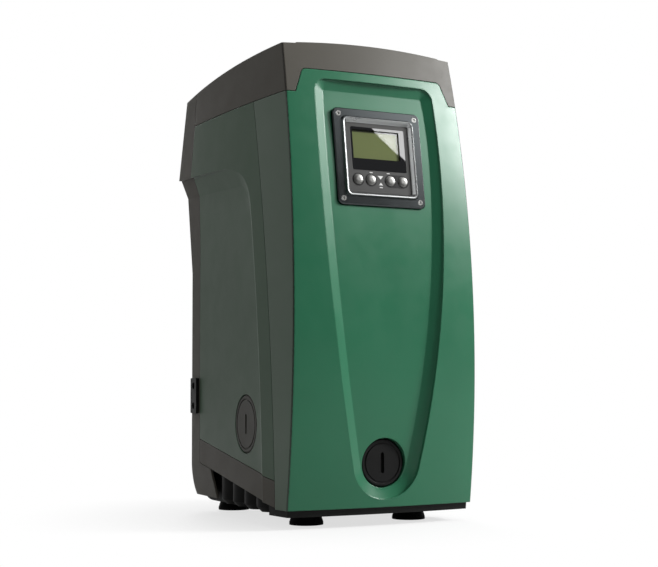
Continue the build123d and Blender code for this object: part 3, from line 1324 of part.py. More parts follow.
with BuildPart() as expansion_vessel:
    with BuildSketch(Plane.XY.offset(LOOP_Z + PIPE_R + CLEAR)):
        with Locations((0, VESSEL_Y)):
            Circle(NOZZLE_R)
    extrude(amount=VESSEL_Z + VESSEL_WALL - LOOP_Z - PIPE_R)
    with BuildSketch(Plane.XY.offset(VESSEL_Z + VESSEL_HEIGHT - VESSEL_WALL)):
        with Locations((0, VESSEL_Y)):
            Circle(NOZZLE_R / 2)
    extrude(amount=VALVE_STEM)
    add(vessel(0))
    add(vessel(VESSEL_WALL), mode=Mode.SUBTRACT)
expansion_vessel.part.label = "expansion_vessel"
export_step(expansion_vessel.part, "parts/expansion_vessel.step")

CHASSIS_Y = VESSEL_Y - VESSEL_R - STRAP - CLEAR - CHASSIS_PLATE
CHASSIS_PLANE = Plane(origin=(0, CHASSIS_Y, 0), x_dir=(-1, 0, 0), z_dir=(0, 1, 0))
with BuildPart() as chassis:
    with BuildSketch(CHASSIS_PLANE):
        with Locations((0, TRAY_Z + TRAY_FLOOR)):
            rise = CHASSIS_TOP - TRAY_Z - TRAY_FLOOR
            Rectangle(2 * CHASSIS_HALF, rise, align=(Align.CENTER, Align.MIN))
        with Locations((0, AXIS_Z)):
            barrel = BARREL_R + FIN_DEPTH + FIT
            Circle(barrel, mode=Mode.SUBTRACT)
            Rectangle(2 * barrel, AXIS_Z, align=(Align.CENTER, Align.MAX), mode=Mode.SUBTRACT)
        with Locations((DISCHARGE_X, ELBOW_Z)):
            Circle(PIPE_R + 2, mode=Mode.SUBTRACT)
        with Locations((-VALVE_MIDDLE.X, LOOP_Z)):
            Circle(PIPE_R + CLEAR, mode=Mode.SUBTRACT)
    extrude(amount=CHASSIS_PLATE)
    with BuildSketch(Plane.XY.offset(TRAY_Z + TRAY_FLOOR)):
        for side in (-1, 1):
            with Locations((side * (CHASSIS_HALF - CHASSIS_FOOT / 2), CHASSIS_Y + CHASSIS_PLATE / 2)):
                Rectangle(CHASSIS_FOOT, CHASSIS_FOOT)
    extrude(amount=WALL)
chassis.part.label = "chassis"
export_step(chassis.part, "parts/chassis.step")

with BuildPart() as vessel_strap:
    with BuildSketch(Plane.XY.offset(VESSEL_Z + VESSEL_HEIGHT / 2 - STRAP_WIDTH / 2)):
        with Locations((0, VESSEL_Y)):
            Circle(VESSEL_R + STRAP)
            Circle(VESSEL_R + FIT, mode=Mode.SUBTRACT)
    extrude(amount=STRAP_WIDTH)
vessel_strap.part.label = "vessel_strap"
export_step(vessel_strap.part, "parts/vessel_strap.step")

# ---------------------------------------------------------------- electronics

INVERTER_PLANE = Plane(origin=(0, CHASSIS_Y, INVERTER_Z), x_dir=(1, 0, 0), z_dir=(0, -1, 0))
with BuildPart() as inverter_case:
    with BuildSketch(INVERTER_PLANE):
        RectangleRounded(INVERTER_WIDTH, INVERTER_HEIGHT, CASE_R)
    extrude(amount=INVERTER_DEPTH)
    with BuildSketch(INVERTER_PLANE.offset(WALL)):
        RectangleRounded(INVERTER_WIDTH - 2 * WALL, INVERTER_HEIGHT - 2 * WALL, CASE_R - WALL / 2)
    extrude(amount=INVERTER_DEPTH, mode=Mode.SUBTRACT)
    with BuildSketch(INVERTER_PLANE.offset(WALL)):
        with GridLocations(INVERTER_WIDTH - 2 * PILLAR_INSET, INVERTER_HEIGHT - 2 * PILLAR_INSET, 2, 2):
            Circle(PILLAR_R)
    extrude(amount=BOARD_STANDOFF)
inverter_case.part.label = "inverter_case"
export_step(inverter_case.part, "parts/inverter_case.step")

with BuildPart() as control_board:
    with BuildSketch(INVERTER_PLANE.offset(WALL + BOARD_STANDOFF)):
        Rectangle(INVERTER_WIDTH - 4 * WALL, INVERTER_HEIGHT - 4 * WALL)
    extrude(amount=BOARD_THICK)
    with BuildSketch(INVERTER_PLANE.offset(WALL + BOARD_STANDOFF + BOARD_THICK)):
        with GridLocations(CAPACITOR_PITCH, 0, 3, 1):
            Circle(CAPACITOR_R)
        with Locations((0, INVERTER_HEIGHT / 4)):
            Rectangle(INVERTER_WIDTH / 2, INVERTER_HEIGHT / 6)
    extrude(amount=CAPACITOR_HEIGHT)
control_board.part.label = "control_board"
export_step(control_board.part, "parts/control_board.step")

with BuildPart() as inverter_lid:
    with BuildSketch(INVERTER_PLANE.offset(INVERTER_DEPTH + CLEAR)):
        RectangleRounded(INVERTER_WIDTH, INVERTER_HEIGHT, CASE_R)
    extrude(amount=WALL)
inverter_lid.part.label = "inverter_lid"
export_step(inverter_lid.part, "parts/inverter_lid.step")
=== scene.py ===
"""Finishes, small pieces, floor, lamps and camera for the cabinet booster pump."""
import json
import math

import bmesh
import bpy
from mathutils import Matrix, Quaternion, Vector


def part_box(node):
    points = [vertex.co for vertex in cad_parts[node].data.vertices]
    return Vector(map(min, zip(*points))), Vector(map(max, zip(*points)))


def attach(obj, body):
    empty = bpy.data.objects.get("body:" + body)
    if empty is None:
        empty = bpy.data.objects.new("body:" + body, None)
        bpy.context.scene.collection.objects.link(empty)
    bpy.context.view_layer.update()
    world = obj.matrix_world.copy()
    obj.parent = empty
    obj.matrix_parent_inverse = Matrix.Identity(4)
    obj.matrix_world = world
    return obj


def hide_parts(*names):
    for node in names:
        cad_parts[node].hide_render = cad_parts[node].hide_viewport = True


bl_info = {
    "name": "Cabinet booster pump",
    "version": (1, 0, 0),
    "blender": (4, 5, 0),
    "location": "3D View > Sidebar > Pump",
    "description": "Dresses the packed booster pump and sets its studio",
    "category": "Object",
}

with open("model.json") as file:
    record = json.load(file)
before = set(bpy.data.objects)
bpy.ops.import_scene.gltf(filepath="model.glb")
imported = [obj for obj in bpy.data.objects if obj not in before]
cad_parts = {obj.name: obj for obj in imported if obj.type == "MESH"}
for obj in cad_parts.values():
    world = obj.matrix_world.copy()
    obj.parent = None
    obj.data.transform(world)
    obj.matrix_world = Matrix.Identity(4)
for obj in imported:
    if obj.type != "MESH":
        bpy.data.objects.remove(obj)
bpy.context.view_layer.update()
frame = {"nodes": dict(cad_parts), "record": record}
NODES = frame["nodes"]
EDGE_RADIUS = 0.0007            # roundness that a moulded edge shows
RUBBED = 0.5                    # how much lighter a rubbed edge is
DUST = (0.42, 0.41, 0.38)       # colour of settled dust
SHOULDER_RADIUS = 0.0018        # roundness that the recesses' shoulders show
SAME_FACE = math.cos(math.radians(8))       # faces that turn less than this shade as one
OTHER_FACE = math.cos(math.radians(21))     # and past this, as two
FLOOR_SHEEN = 0.4               # the floor's share of the backdrop's brightness, in reflections
FLOOR_BOUNCE = (0.2, 0.2, 0.2)  # what the floor gives back to the object
STRIP_FROM = 0.095              # the cover's narrow sides and corners lie beyond this, from the middle
ROUND_STEPS = 32                # corners of a circle on the display


def srgb(red, green, blue):
    """Linear colour of an sRGB triple written from 0 to 255."""
    parts = (red / 255, green / 255, blue / 255)
    return tuple(c / 12.92 if c < 11 / 255 else ((c + 0.055) / 1.055) ** 2.4 for c in parts)


# ------------------------------------------------------------ settings


def colour(name, words, value):
    """A colour setting."""
    return bpy.props.FloatVectorProperty(
        name=name, description=words, default=value, subtype="COLOR", min=0, max=1)


def length(name, words, value):
    """A length setting in metres."""
    return bpy.props.FloatProperty(name=name, description=words, default=value, unit="LENGTH", precision=5)


class PumpColours(bpy.types.PropertyGroup):
    cover: colour("Cover", "Green of the front cover", srgb(40, 112, 80))
    # the side panels are the cover's green plastic; this grey-green is a painted sheen, the grey light their
    # sides catch
    panel: colour("Side panels", "Grey-green of the side panels", srgb(82, 102, 85))
    shell: colour("Cap and skirts", "Warm dark grey of the cap, skirts and rear shell", srgb(86, 83, 76))
    tray: colour("Tray", "Black of the base tray", srgb(15, 15, 14))
    plug: colour("Side plug", "Grey-brown of the side plug", srgb(66, 65, 59))
    bezel: colour("Bezel", "Metallised bezel round the screen", srgb(62, 65, 66))
    fascia: colour("Fascia", "Dark grey of the keypad's face", srgb(56, 56, 55))
    lcd: colour("Screen", "Olive of the unlit screen", srgb(118, 128, 82))
    button: colour("Buttons", "Silver of the buttons", srgb(112, 112, 110))


class PumpSizes(bpy.types.PropertyGroup):
    weld: length("Weld", "Distance under which corners of a copied mesh are merged", 0.000004)
    blade: length("Blade thickness", "Thickness of a louvre blade", 0.0012)
    glyph: length("Symbol size", "Height of the symbols on the keypad", 0.0042)


class PumpStage(bpy.types.PropertyGroup):
    camera_place: bpy.props.FloatVectorProperty(
        name="Camera place", description="Where the camera stands", default=(-0.7887, -1.5532, 0.1703),
        subtype="TRANSLATION", unit="LENGTH", precision=4)
    camera_yaw: bpy.props.FloatProperty(
        name="Camera yaw", description="Turn of the view to the right of straight ahead",
        default=math.radians(27.28), unit="ROTATION")
    camera_pitch: bpy.props.FloatProperty(
        name="Camera pitch", description="Upward tilt of the view",
        default=math.radians(3.95), unit="ROTATION")
    camera_roll: bpy.props.FloatProperty(
        name="Camera roll", description="Roll of the view", default=math.radians(-0.16), unit="ROTATION")
    lens: bpy.props.FloatProperty(
        name="Lens", description="Focal length", default=75.1, min=20, max=300, subtype="DISTANCE_CAMERA")
    top_light: bpy.props.FloatProperty(
        name="Top light", description="Strength of the overhead softbox", default=8, unit="POWER")
    key_light: bpy.props.FloatProperty(
        name="Key light", description="Strength of the softbox at the front right", default=150, unit="POWER")
    rear_light: bpy.props.FloatProperty(
        name="Rear light", description="Power of the softbox behind", default=30, unit="POWER")
    side_light: bpy.props.FloatProperty(
        name="Side light", description="Strength of the left softbox", default=7, unit="POWER")
    fill: bpy.props.FloatProperty(
        name="Fill", description="Strength of the room's fill light", default=0.14, min=0, max=2)
    room: bpy.props.FloatProperty(
        name="Room", description="Brightness of the room in front of the object, in reflections",
        default=0.12, min=0, max=2)
    backdrop: bpy.props.FloatProperty(
        name="Backdrop", description="Brightness of the backdrop and floor in reflections",
        default=0.5, min=0, max=1)
    card: bpy.props.FloatProperty(
        name="Card", description="Brightness of the reflector that the glass shows",
        default=4.5, min=0, max=20)
    card_place: bpy.props.FloatVectorProperty(
        name="Card place", description="Middle of the reflector", default=(0.730, -0.953, 1.020),
        subtype="TRANSLATION", unit="LENGTH", precision=4)
    card_turn: bpy.props.FloatProperty(
        name="Card turn", description="Turn of the reflector in its own plane",
        default=math.radians(57.3), unit="ROTATION")
    card_side: bpy.props.FloatProperty(
        name="Card side", description="Side of the reflector", default=0.42, unit="LENGTH")


# ------------------------------------------------------------ node helpers


class Tree:
    """Short calls for building a node tree."""

    def __init__(self, tree):
        self.tree = tree

    def node(self, kind, **values):
        made = self.tree.nodes.new(kind)
        for name, value in values.items():
            setattr(made, name, value)
        return made

    def link(self, source, target):
        self.tree.links.new(source, target)

    def math(self, operation, first, second=0.0, clamp=False):
        made = self.node("ShaderNodeMath", operation=operation, use_clamp=clamp)
        for socket, value in zip(made.inputs, (first, second)):
            if isinstance(value, (int, float)):
                socket.default_value = value
            else:
                self.link(value, socket)
        return made.outputs[0]

    def ramp(self, value, low, high, start=0.0, end=1.0):
        """value from low..high carried to start..end, smoothly."""
        made = self.node("ShaderNodeMapRange", interpolation_type="SMOOTHSTEP")
        self.link(value, made.inputs["Value"])
        for name, number in (("From Min", low), ("From Max", high), ("To Min", start), ("To Max", end)):
            made.inputs[name].default_value = number
        return made.outputs["Result"]

    def blend(self, factor, first, second):
        """Two colours mixed; each is a colour or a socket."""
        made = self.node("ShaderNodeMix", data_type="RGBA")
        sockets = [s for s in made.inputs if s.type == "RGBA"]
        self.link(factor, made.inputs["Factor"])
        for socket, value in zip(sockets, (first, second)):
            if isinstance(value, (tuple, list)):
                socket.default_value = (*value[:3], 1)
            else:
                self.link(value, socket)
        return next(s for s in made.outputs if s.type == "RGBA")

    def noise(self, vector, scale, detail=2.0, roughness=0.5):
        made = self.node("ShaderNodeTexNoise")
        self.link(vector, made.inputs["Vector"])
        for name, number in (("Scale", scale), ("Detail", detail), ("Roughness", roughness)):
            made.inputs[name].default_value = number
        return made.outputs["Fac"]

    def stretched(self, vector, scale):
        """Coordinates scaled along each axis."""
        made = self.node("ShaderNodeMapping")
        made.inputs["Scale"].default_value = scale
        self.link(vector, made.inputs["Vector"])
        return made.outputs["Vector"]

    def axes(self, vector):
        made = self.node("ShaderNodeSeparateXYZ")
        self.link(vector, made.inputs[0])
        return made.outputs


def surface_group(name, sockets_in, sockets_out, build):
    """A node group with named inputs and outputs, built once."""
    if name in bpy.data.node_groups:
        return bpy.data.node_groups[name]
    group = bpy.data.node_groups.new(name, "ShaderNodeTree")
    for label, kind, default in sockets_in:
        socket = group.interface.new_socket(label, in_out="INPUT", socket_type=kind)
        if default is not None:
            socket.default_value = default
    for label, kind in sockets_out:
        group.interface.new_socket(label, in_out="OUTPUT", socket_type=kind)
    tree = Tree(group)
    entry = tree.node("NodeGroupInput")
    leave = tree.node("NodeGroupOutput")
    build(tree, entry.outputs, leave.inputs)
    return group


def moulded_grain():
    """Spark-eroded mould grain, with slow cloudiness for colour and sheen."""

    def build(tree, given, out):
        fine = tree.node("ShaderNodeTexNoise")
        fine.inputs["Detail"].default_value = 3
        tree.link(given["Vector"], fine.inputs["Vector"])
        tree.link(given["Scale"], fine.inputs["Scale"])
        cell = tree.node("ShaderNodeTexVoronoi", feature="SMOOTH_F1")
        cell.inputs["Smoothness"].default_value = 0.6
        tree.link(given["Vector"], cell.inputs["Vector"])
        tree.link(given["Scale"], cell.inputs["Scale"])
        cells = tree.math("MULTIPLY", cell.outputs["Distance"], 0.6)
        tree.link(tree.math("ADD", fine.outputs["Fac"], cells), out["Height"])
        tree.link(tree.noise(given["Vector"], 9, 3), out["Cloud"])
        tree.link(tree.noise(given["Vector"], 34, 4, 0.6), out["Smudge"])

    return surface_group(
        "Moulded grain", [("Vector", "NodeSocketVector", None), ("Scale", "NodeSocketFloat", 900.0)],
        [("Height", "NodeSocketFloat"), ("Cloud", "NodeSocketFloat"), ("Smudge", "NodeSocketFloat")], build)


def settled_dust():
    """A mask of pale dust that gathers on upward faces."""

    def build(tree, given, out):
        facing = tree.node("ShaderNodeNewGeometry")
        up = tree.axes(facing.outputs["Normal"])["Z"]
        speck = tree.noise(given["Vector"], 260, 5, 0.7)
        patch = tree.ramp(tree.noise(given["Vector"], 14, 3), 0.35, 0.7)
        lying = tree.ramp(up, 0.35, 1.0)
        mask = tree.math("MULTIPLY", tree.math("MULTIPLY", lying, patch), tree.ramp(speck, 0.45, 0.75))
        tree.link(tree.math("MULTIPLY", mask, given["Amount"], clamp=True), out["Mask"])

    return surface_group(
        "Settled dust", [("Vector", "NodeSocketVector", None), ("Amount", "NodeSocketFloat", 0.3)],
        [("Mask", "NodeSocketFloat")], build)


def rubbed_edges():
    """The rounded shading of sharp edges, and a mask of where they are."""

    def build(tree, given, out):
        soft = tree.node("ShaderNodeBevel", samples=4)
        tree.link(given["Radius"], soft.inputs["Radius"])
        flat = tree.node("ShaderNodeNewGeometry")
        turn = tree.node("ShaderNodeVectorMath", operation="DOT_PRODUCT")
        tree.link(soft.outputs["Normal"], turn.inputs[0])
        tree.link(flat.outputs["Normal"], turn.inputs[1])
        tree.link(soft.outputs["Normal"], out["Normal"])
        tree.link(tree.ramp(turn.outputs["Value"], 0.80, 0.985, 1.0, 0.0), out["Mask"])

    return surface_group("Rubbed edges", [("Radius", "NodeSocketFloat", EDGE_RADIUS)],
                         [("Normal", "NodeSocketVector"), ("Mask", "NodeSocketFloat")], build)


def new_material(name):
    """An empty material and its tree, Principled shader and Object coordinates."""
    made = bpy.data.materials.new(name)
    made.use_nodes = True
    tree = Tree(made.node_tree)
    shader = next(n for n in made.node_tree.nodes if n.type == "BSDF_PRINCIPLED")
    place = tree.node("ShaderNodeTexCoord").outputs["Object"]
    return made, tree, shader, place


def shaded(base, amount):
    """A colour lightened, or darkened where amount is below zero."""
    return tuple(min(1.0, c * (1 + amount)) for c in base)


def lift(tree, shader, height, strength, distance, under=None):
    """A bump on the shader's normal, over the normal given as under."""
    bump = tree.node("ShaderNodeBump")
    if under:
        tree.link(under, bump.inputs["Normal"])
    bump.inputs["Strength"].default_value = strength
    bump.inputs["Distance"].default_value = distance
    tree.link(height, bump.inputs["Height"])
    tree.link(bump.outputs["Normal"], shader.inputs["Normal"])


def worn_edge(tree, radius):
    """Normal and mask of the rubbed edges, at a radius."""
    group = tree.node("ShaderNodeGroup", node_tree=rubbed_edges())
    group.inputs["Radius"].default_value = radius
    return group.outputs["Normal"], group.outputs["Mask"]


def plastic(name, base, rough=0.42, grain=900.0, depth=0.25, shade=0.04, dust=0.02, coat=0.0,
            gloss=0.35, wear=0.25, tint=None, rounding=EDGE_RADIUS):
    """Moulded plastic with grain, slight colour drift, uneven sheen, rubbed edges and a little dust."""
    made, tree, shader, place = new_material(name)
    group = tree.node("ShaderNodeGroup", node_tree=moulded_grain())
    group.inputs["Scale"].default_value = grain
    tree.link(place, group.inputs["Vector"])
    drift = tree.ramp(group.outputs["Cloud"], 0.3, 0.7)
    body = tree.blend(drift, shaded(base, -shade), shaded(base, shade))
    if tint:
        body = tint(tree, place, drift, body)
    edge_normal, edge = worn_edge(tree, rounding)
    rubbed = tree.math("MULTIPLY", edge, tree.ramp(group.outputs["Smudge"], 0.35, 0.7, 0.3 * wear, wear))
    body = tree.blend(rubbed, body, shaded(base, RUBBED))
    film = tree.node("ShaderNodeGroup", node_tree=settled_dust())
    film.inputs["Amount"].default_value = dust
    tree.link(place, film.inputs["Vector"])
    tree.link(tree.blend(film.outputs["Mask"], body, DUST), shader.inputs["Base Color"])
    sheen = tree.ramp(group.outputs["Smudge"], 0.25, 0.75, rough - 0.03, rough + 0.04)
    tree.link(sheen, shader.inputs["Roughness"])
    shader.inputs["Specular IOR Level"].default_value = gloss
    shader.inputs["Coat Weight"].default_value = coat
    shader.inputs["Coat Roughness"].default_value = 0.12
    lift(tree, shader, group.outputs["Height"], depth, 0.0002, edge_normal)
    return made


def side_strips(strip):
    """A tint for the front cover: its narrow sides take the side panels' grey-green, a painted sheen, with a
    line of painted shade down each rounded corner.
    """

    def tint(tree, place, drift, body):
        across = tree.math("ABSOLUTE", tree.axes(place)["X"])
        facing = tree.math("ABSOLUTE", tree.axes(tree.node("ShaderNodeNewGeometry").outputs["Normal"])["X"])
        outer = tree.ramp(across, STRIP_FROM - 0.002, STRIP_FROM)
        side = tree.math("MULTIPLY", outer, tree.ramp(facing, 0.62, 0.72))
        corner = tree.math("MULTIPLY", tree.ramp(facing, 0.40, 0.55), tree.ramp(facing, 0.90, 0.97, 1.0, 0.0))
        # painted sheen: the narrow sides take the side panels' grey-green
        body = tree.blend(side, body, tree.blend(drift, shaded(strip, -0.04), shaded(strip, 0.04)))
        # painted shade: a dark line down the rounded corner, where it turns away from the lights
        painted_shade_line = tree.math("MULTIPLY", tree.math("MULTIPLY", outer, corner), 0.8)
        return tree.blend(painted_shade_line, body, shaded(strip, -0.85))

    return tint


def painted_corner_shade(base):
    """A tint for the cap: a line of painted shade down each rounded front corner."""

    def tint(tree, place, drift, body):
        across = tree.math("ABSOLUTE", tree.axes(place)["X"])
        facing = tree.axes(tree.node("ShaderNodeNewGeometry").outputs["Normal"])
        sideways = tree.math("ABSOLUTE", facing["X"])
        front = tree.ramp(facing["Y"], -0.25, -0.05, 1.0, 0.0)
        outer = tree.math("MULTIPLY", front, tree.ramp(across, STRIP_FROM - 0.002, STRIP_FROM))
        corner = tree.math("MULTIPLY", tree.ramp(sideways, 0.40, 0.55),
                           tree.ramp(sideways, 0.90, 0.97, 1.0, 0.0))
        # painted shade down the cap's rounded front corners
        painted_shade_line = tree.math("MULTIPLY", tree.math("MULTIPLY", outer, corner), 0.7)
        return tree.blend(painted_shade_line, body, shaded(base, -0.85))

    return tint


def metal(name, base, rough=0.3, along=(1, 1, 1), scratch=600.0, depth=0.15, shade=0.12, spread=0.1):
    """Metal with directional polish marks, slight tarnish and bright rubbed edges."""
    made, tree, shader, place = new_material(name)
    shader.inputs["Metallic"].default_value = 1.0
    marks = tree.noise(tree.stretched(place, along), scratch, 4, 0.65)
    tarnish = tree.ramp(tree.noise(place, 22, 4, 0.6), 0.3, 0.75)
    edge_normal, edge = worn_edge(tree, EDGE_RADIUS / 2)
    body = tree.blend(tarnish, shaded(base, -shade), base)
    body = tree.blend(tree.math("MULTIPLY", edge, 0.5), body, shaded(base, RUBBED))
    tree.link(body, shader.inputs["Base Color"])
    tree.link(tree.ramp(marks, 0.2, 0.8, rough - spread / 2, rough + spread), shader.inputs["Roughness"])
    lift(tree, shader, marks, depth, 0.0001, edge_normal)
    return made


def cast_metal(name, base, rough=0.5):
    """As-cast metal: sand texture with duller hollows."""
    made, tree, shader, place = new_material(name)
    shader.inputs["Metallic"].default_value = 0.9
    sand = tree.noise(place, 700, 5, 0.7)
    stain = tree.noise(place, 30, 5, 0.6)
    body = tree.blend(tree.ramp(stain, 0.35, 0.7), tuple(c * 0.8 for c in base), base)
    tree.link(body, shader.inputs["Base Color"])
    tree.link(tree.ramp(stain, 0.2, 0.8, rough - 0.1, rough + 0.12), shader.inputs["Roughness"])
    lift(tree, shader, sand, 0.5, 0.0004)
    return made


def rubber(name, base=(0.006, 0.006, 0.0065)):
    """Dark rubber with a chalky bloom."""
    made, tree, shader, place = new_material(name)
    bloom = tree.noise(place, 60, 5, 0.7)
    body = tree.blend(tree.ramp(bloom, 0.4, 0.8), base, tuple(c * 2.2 for c in base))
    tree.link(body, shader.inputs["Base Color"])
    tree.link(tree.ramp(bloom, 0.3, 0.8, 0.6, 0.85), shader.inputs["Roughness"])
    shader.inputs["Specular IOR Level"].default_value = 0.1
    lift(tree, shader, tree.noise(place, 1100, 3), 0.3, 0.0002)
    return made


def winding(name):
    """Varnished copper wire laid round the axis."""
    made, tree, shader, place = new_material(name)
    shader.inputs["Metallic"].default_value = 0.6
    wire = tree.node("ShaderNodeTexWave", wave_type="BANDS", bands_direction="Y")
    wire.inputs["Scale"].default_value = 260
    wire.inputs["Distortion"].default_value = 1.5
    tree.link(place, wire.inputs["Vector"])
    body = tree.blend(wire.outputs["Fac"], srgb(96, 40, 18), srgb(196, 108, 58))
    tree.link(body, shader.inputs["Base Color"])
    shader.inputs["Roughness"].default_value = 0.35
    lift(tree, shader, wire.outputs["Fac"], 0.8, 0.0004)
    return made


def laminations(name):
    """Stacked steel sheets seen on edge."""
    made, tree, shader, place = new_material(name)
    shader.inputs["Metallic"].default_value = 0.9
    sheet = tree.node("ShaderNodeTexWave", wave_type="BANDS", bands_direction="Y", wave_profile="SAW")
    sheet.inputs["Scale"].default_value = 320
    tree.link(place, sheet.inputs["Vector"])
    body = tree.blend(sheet.outputs["Fac"], srgb(70, 70, 76), srgb(128, 128, 134))
    tree.link(body, shader.inputs["Base Color"])
    tree.link(tree.ramp(tree.noise(place, 80, 4), 0.3, 0.7, 0.35, 0.5), shader.inputs["Roughness"])
    lift(tree, shader, sheet.outputs["Fac"], 0.6, 0.0002)
    return made


def circuit(name):
    """Green solder mask with tracks, and dark parts standing on it."""
    made, tree, shader, place = new_material(name)
    board_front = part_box("control_board")[1][1]
    track = tree.node("ShaderNodeTexBrick", offset=0.5)
    track.inputs["Scale"].default_value = 130
    track.inputs["Mortar Size"].default_value = 0.03
    axes = tree.axes(place)
    join = tree.node("ShaderNodeCombineXYZ")
    tree.link(axes["X"], join.inputs[0])
    tree.link(axes["Z"], join.inputs[1])
    tree.link(join.outputs[0], track.inputs["Vector"])
    mask = tree.blend(track.outputs["Fac"], srgb(16, 78, 40), srgb(52, 122, 66))
    standing = tree.ramp(axes["Y"], board_front - 0.0024, board_front - 0.0018)
    tree.link(tree.blend(standing, srgb(26, 27, 30), mask), shader.inputs["Base Color"])
    shader.inputs["Roughness"].default_value = 0.35
    lift(tree, shader, track.outputs["Fac"], 0.3, 0.0001)
    return made


def screen(name, base):
    """Unlit liquid crystal: olive with fine rows, shaded under its top edge."""
    made, tree, shader, place = new_material(name)
    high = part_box("lcd_panel")[1]
    axes = tree.axes(place)
    rows = tree.node("ShaderNodeTexWave", wave_type="BANDS", bands_direction="Z")
    rows.inputs["Scale"].default_value = 400
    tree.link(place, rows.inputs["Vector"])
    tone = tree.blend(rows.outputs["Fac"], tuple(c * 0.94 for c in base), base)
    top = tree.ramp(axes["Z"], high[2] - 0.0042, high[2] - 0.0026)
    tree.link(tree.blend(top, tone, tuple(c * 0.22 for c in base)), shader.inputs["Base Color"])
    tree.link(tree.ramp(tree.noise(place, 60, 3), 0.3, 0.7, 0.01, 0.02), shader.inputs["Roughness"])
    polished(shader)
    return made


def polished(shader):
    """The clear, mirror-smooth face of the screen's cover."""
    shader.inputs["Specular IOR Level"].default_value = 1.0
    shader.inputs["Coat Weight"].default_value = 1.0
    shader.inputs["Coat Roughness"].default_value = 0.01


def window(name):
    """Clear cover over the screen with a black printed surround."""
    made, tree, shader, place = new_material(name)
    low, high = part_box("lcd_panel")
    axes = tree.axes(place)
    inset = 0.0006
    across = tree.math("MULTIPLY", tree.math("GREATER_THAN", axes["X"], low[0] + inset),
                       tree.math("LESS_THAN", axes["X"], high[0] - inset))
    along = tree.math("MULTIPLY", tree.math("GREATER_THAN", axes["Z"], low[2] + inset),
                      tree.math("LESS_THAN", axes["Z"], high[2] - inset))
    clear = tree.math("MULTIPLY", across, along)
    tree.link(tree.ramp(clear, 0, 1, 1.0, 0.02), shader.inputs["Alpha"])
    smear = tree.noise(place, 45, 5, 0.65)
    tree.link(tree.blend(smear, srgb(5, 6, 10), srgb(9, 10, 15)), shader.inputs["Base Color"])
    tree.link(tree.ramp(smear, 0.3, 0.8, 0.01, 0.02), shader.inputs["Roughness"])
    polished(shader)
    return made


def build_finishes(colours):
    """Every material, by the name that the pieces ask for."""
    return {
        "cover": plastic("Green cover", tuple(colours.cover), rough=0.33, grain=1500, depth=0.05, gloss=0.4,
                         wear=0.1, tint=side_strips(tuple(colours.panel)), rounding=SHOULDER_RADIUS),
        # side panels in the grey-green that paints in their sheen over the green plastic
        "panel": plastic("Side panel", tuple(colours.panel), rough=0.40, grain=1300, depth=0.10, gloss=0.2,
                         wear=0.1, rounding=SHOULDER_RADIUS),
        "cap": plastic("Warm grey cap", tuple(colours.shell), rough=0.48, grain=1100, depth=0.18, gloss=0.25,
                       tint=painted_corner_shade(tuple(colours.shell))),
        "shell": plastic("Warm grey shell", tuple(colours.shell), rough=0.50, grain=1100, depth=0.18,
                         gloss=0.2),
        "tray": plastic("Tray black", tuple(colours.tray), rough=0.5, grain=800, depth=0.3, gloss=0.15),
        "plug": plastic("Plug grey", tuple(colours.plug), rough=0.46, grain=900, depth=0.2, gloss=0.2),
        "black": plastic("Black plastic", srgb(13, 13, 13), rough=0.42, grain=900, depth=0.2, gloss=0.18,
                         wear=0.15),
        "nylon": plastic("Glass-filled nylon", srgb(40, 40, 43), rough=0.5, grain=600, depth=0.45, shade=0.1),
        "fascia": plastic("Keypad face", tuple(colours.fascia), rough=0.5, grain=1900, depth=0.12,
                          gloss=0.25),
        "bezel": metal("Metallised bezel", tuple(colours.bezel), rough=0.2, scratch=40, depth=0.0,
                       shade=0.04, spread=0.03),
        "rim": metal("Bright lip", srgb(150, 152, 152), rough=0.28, scratch=60, depth=0.0, shade=0.03,
                     spread=0.04),
        "button": metal("Silver button", tuple(colours.button), rough=0.3, scratch=900, depth=0.08),
        "zinc": metal("Zinc plate", srgb(178, 180, 184), rough=0.36, along=(1, 1, 0.2), scratch=300),
        "screw": metal("Screw steel", srgb(132, 132, 130), rough=0.25, scratch=900),
        "stainless": metal("Drawn stainless", srgb(200, 200, 198), rough=0.24, along=(1, 0.05, 1),
                           scratch=500),
        "bearing": metal("Ground steel", srgb(205, 205, 205), rough=0.16, scratch=1500),
        "brass": metal("Machined brass", srgb(200, 168, 96), rough=0.28, along=(1, 0.1, 1), scratch=700),
        "cast": cast_metal("Cast aluminium", srgb(168, 170, 172)),
        "enamel": plastic("Blue enamel", srgb(24, 62, 128), rough=0.22, grain=160, depth=0.12, shade=0.1,
                          coat=0.5),
        "rubber": rubber("Rubber"),
        "carbon": rubber("Seal carbon", (0.03, 0.03, 0.032)),
        "winding": winding("Copper winding"),
        "laminations": laminations("Laminations"),
        "circuit": circuit("Circuit board"),
        "screen": screen("Screen", tuple(colours.lcd)),
        "window": window("Window"),
        "print": plastic("White print", srgb(232, 232, 230), rough=0.4, grain=2000, depth=0.02, shade=0.02,
                         dust=0.0),
    }


FINISHES = {}

# ------------------------------------------------------------ piece helpers


def body_of(node):
    """The body that a CAD node rides on."""
    return next(name for name, nodes in frame["record"]["behaviour"]["bodies"].items() if node in nodes)


def paint(node, finish):
    """Gives a carried-over CAD node its material."""
    data = NODES[node].data
    data.materials.clear()
    data.materials.append(FINISHES[finish])


def dress(piece, node, finish, replace=True):
    """Sets material, slot and body of a new piece."""
    bpy.context.scene.collection.objects.link(piece)
    piece.data.materials.clear()
    piece.data.materials.append(FINISHES[finish])
    if replace:
        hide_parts(node)
    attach(piece, body_of(node))
    return piece


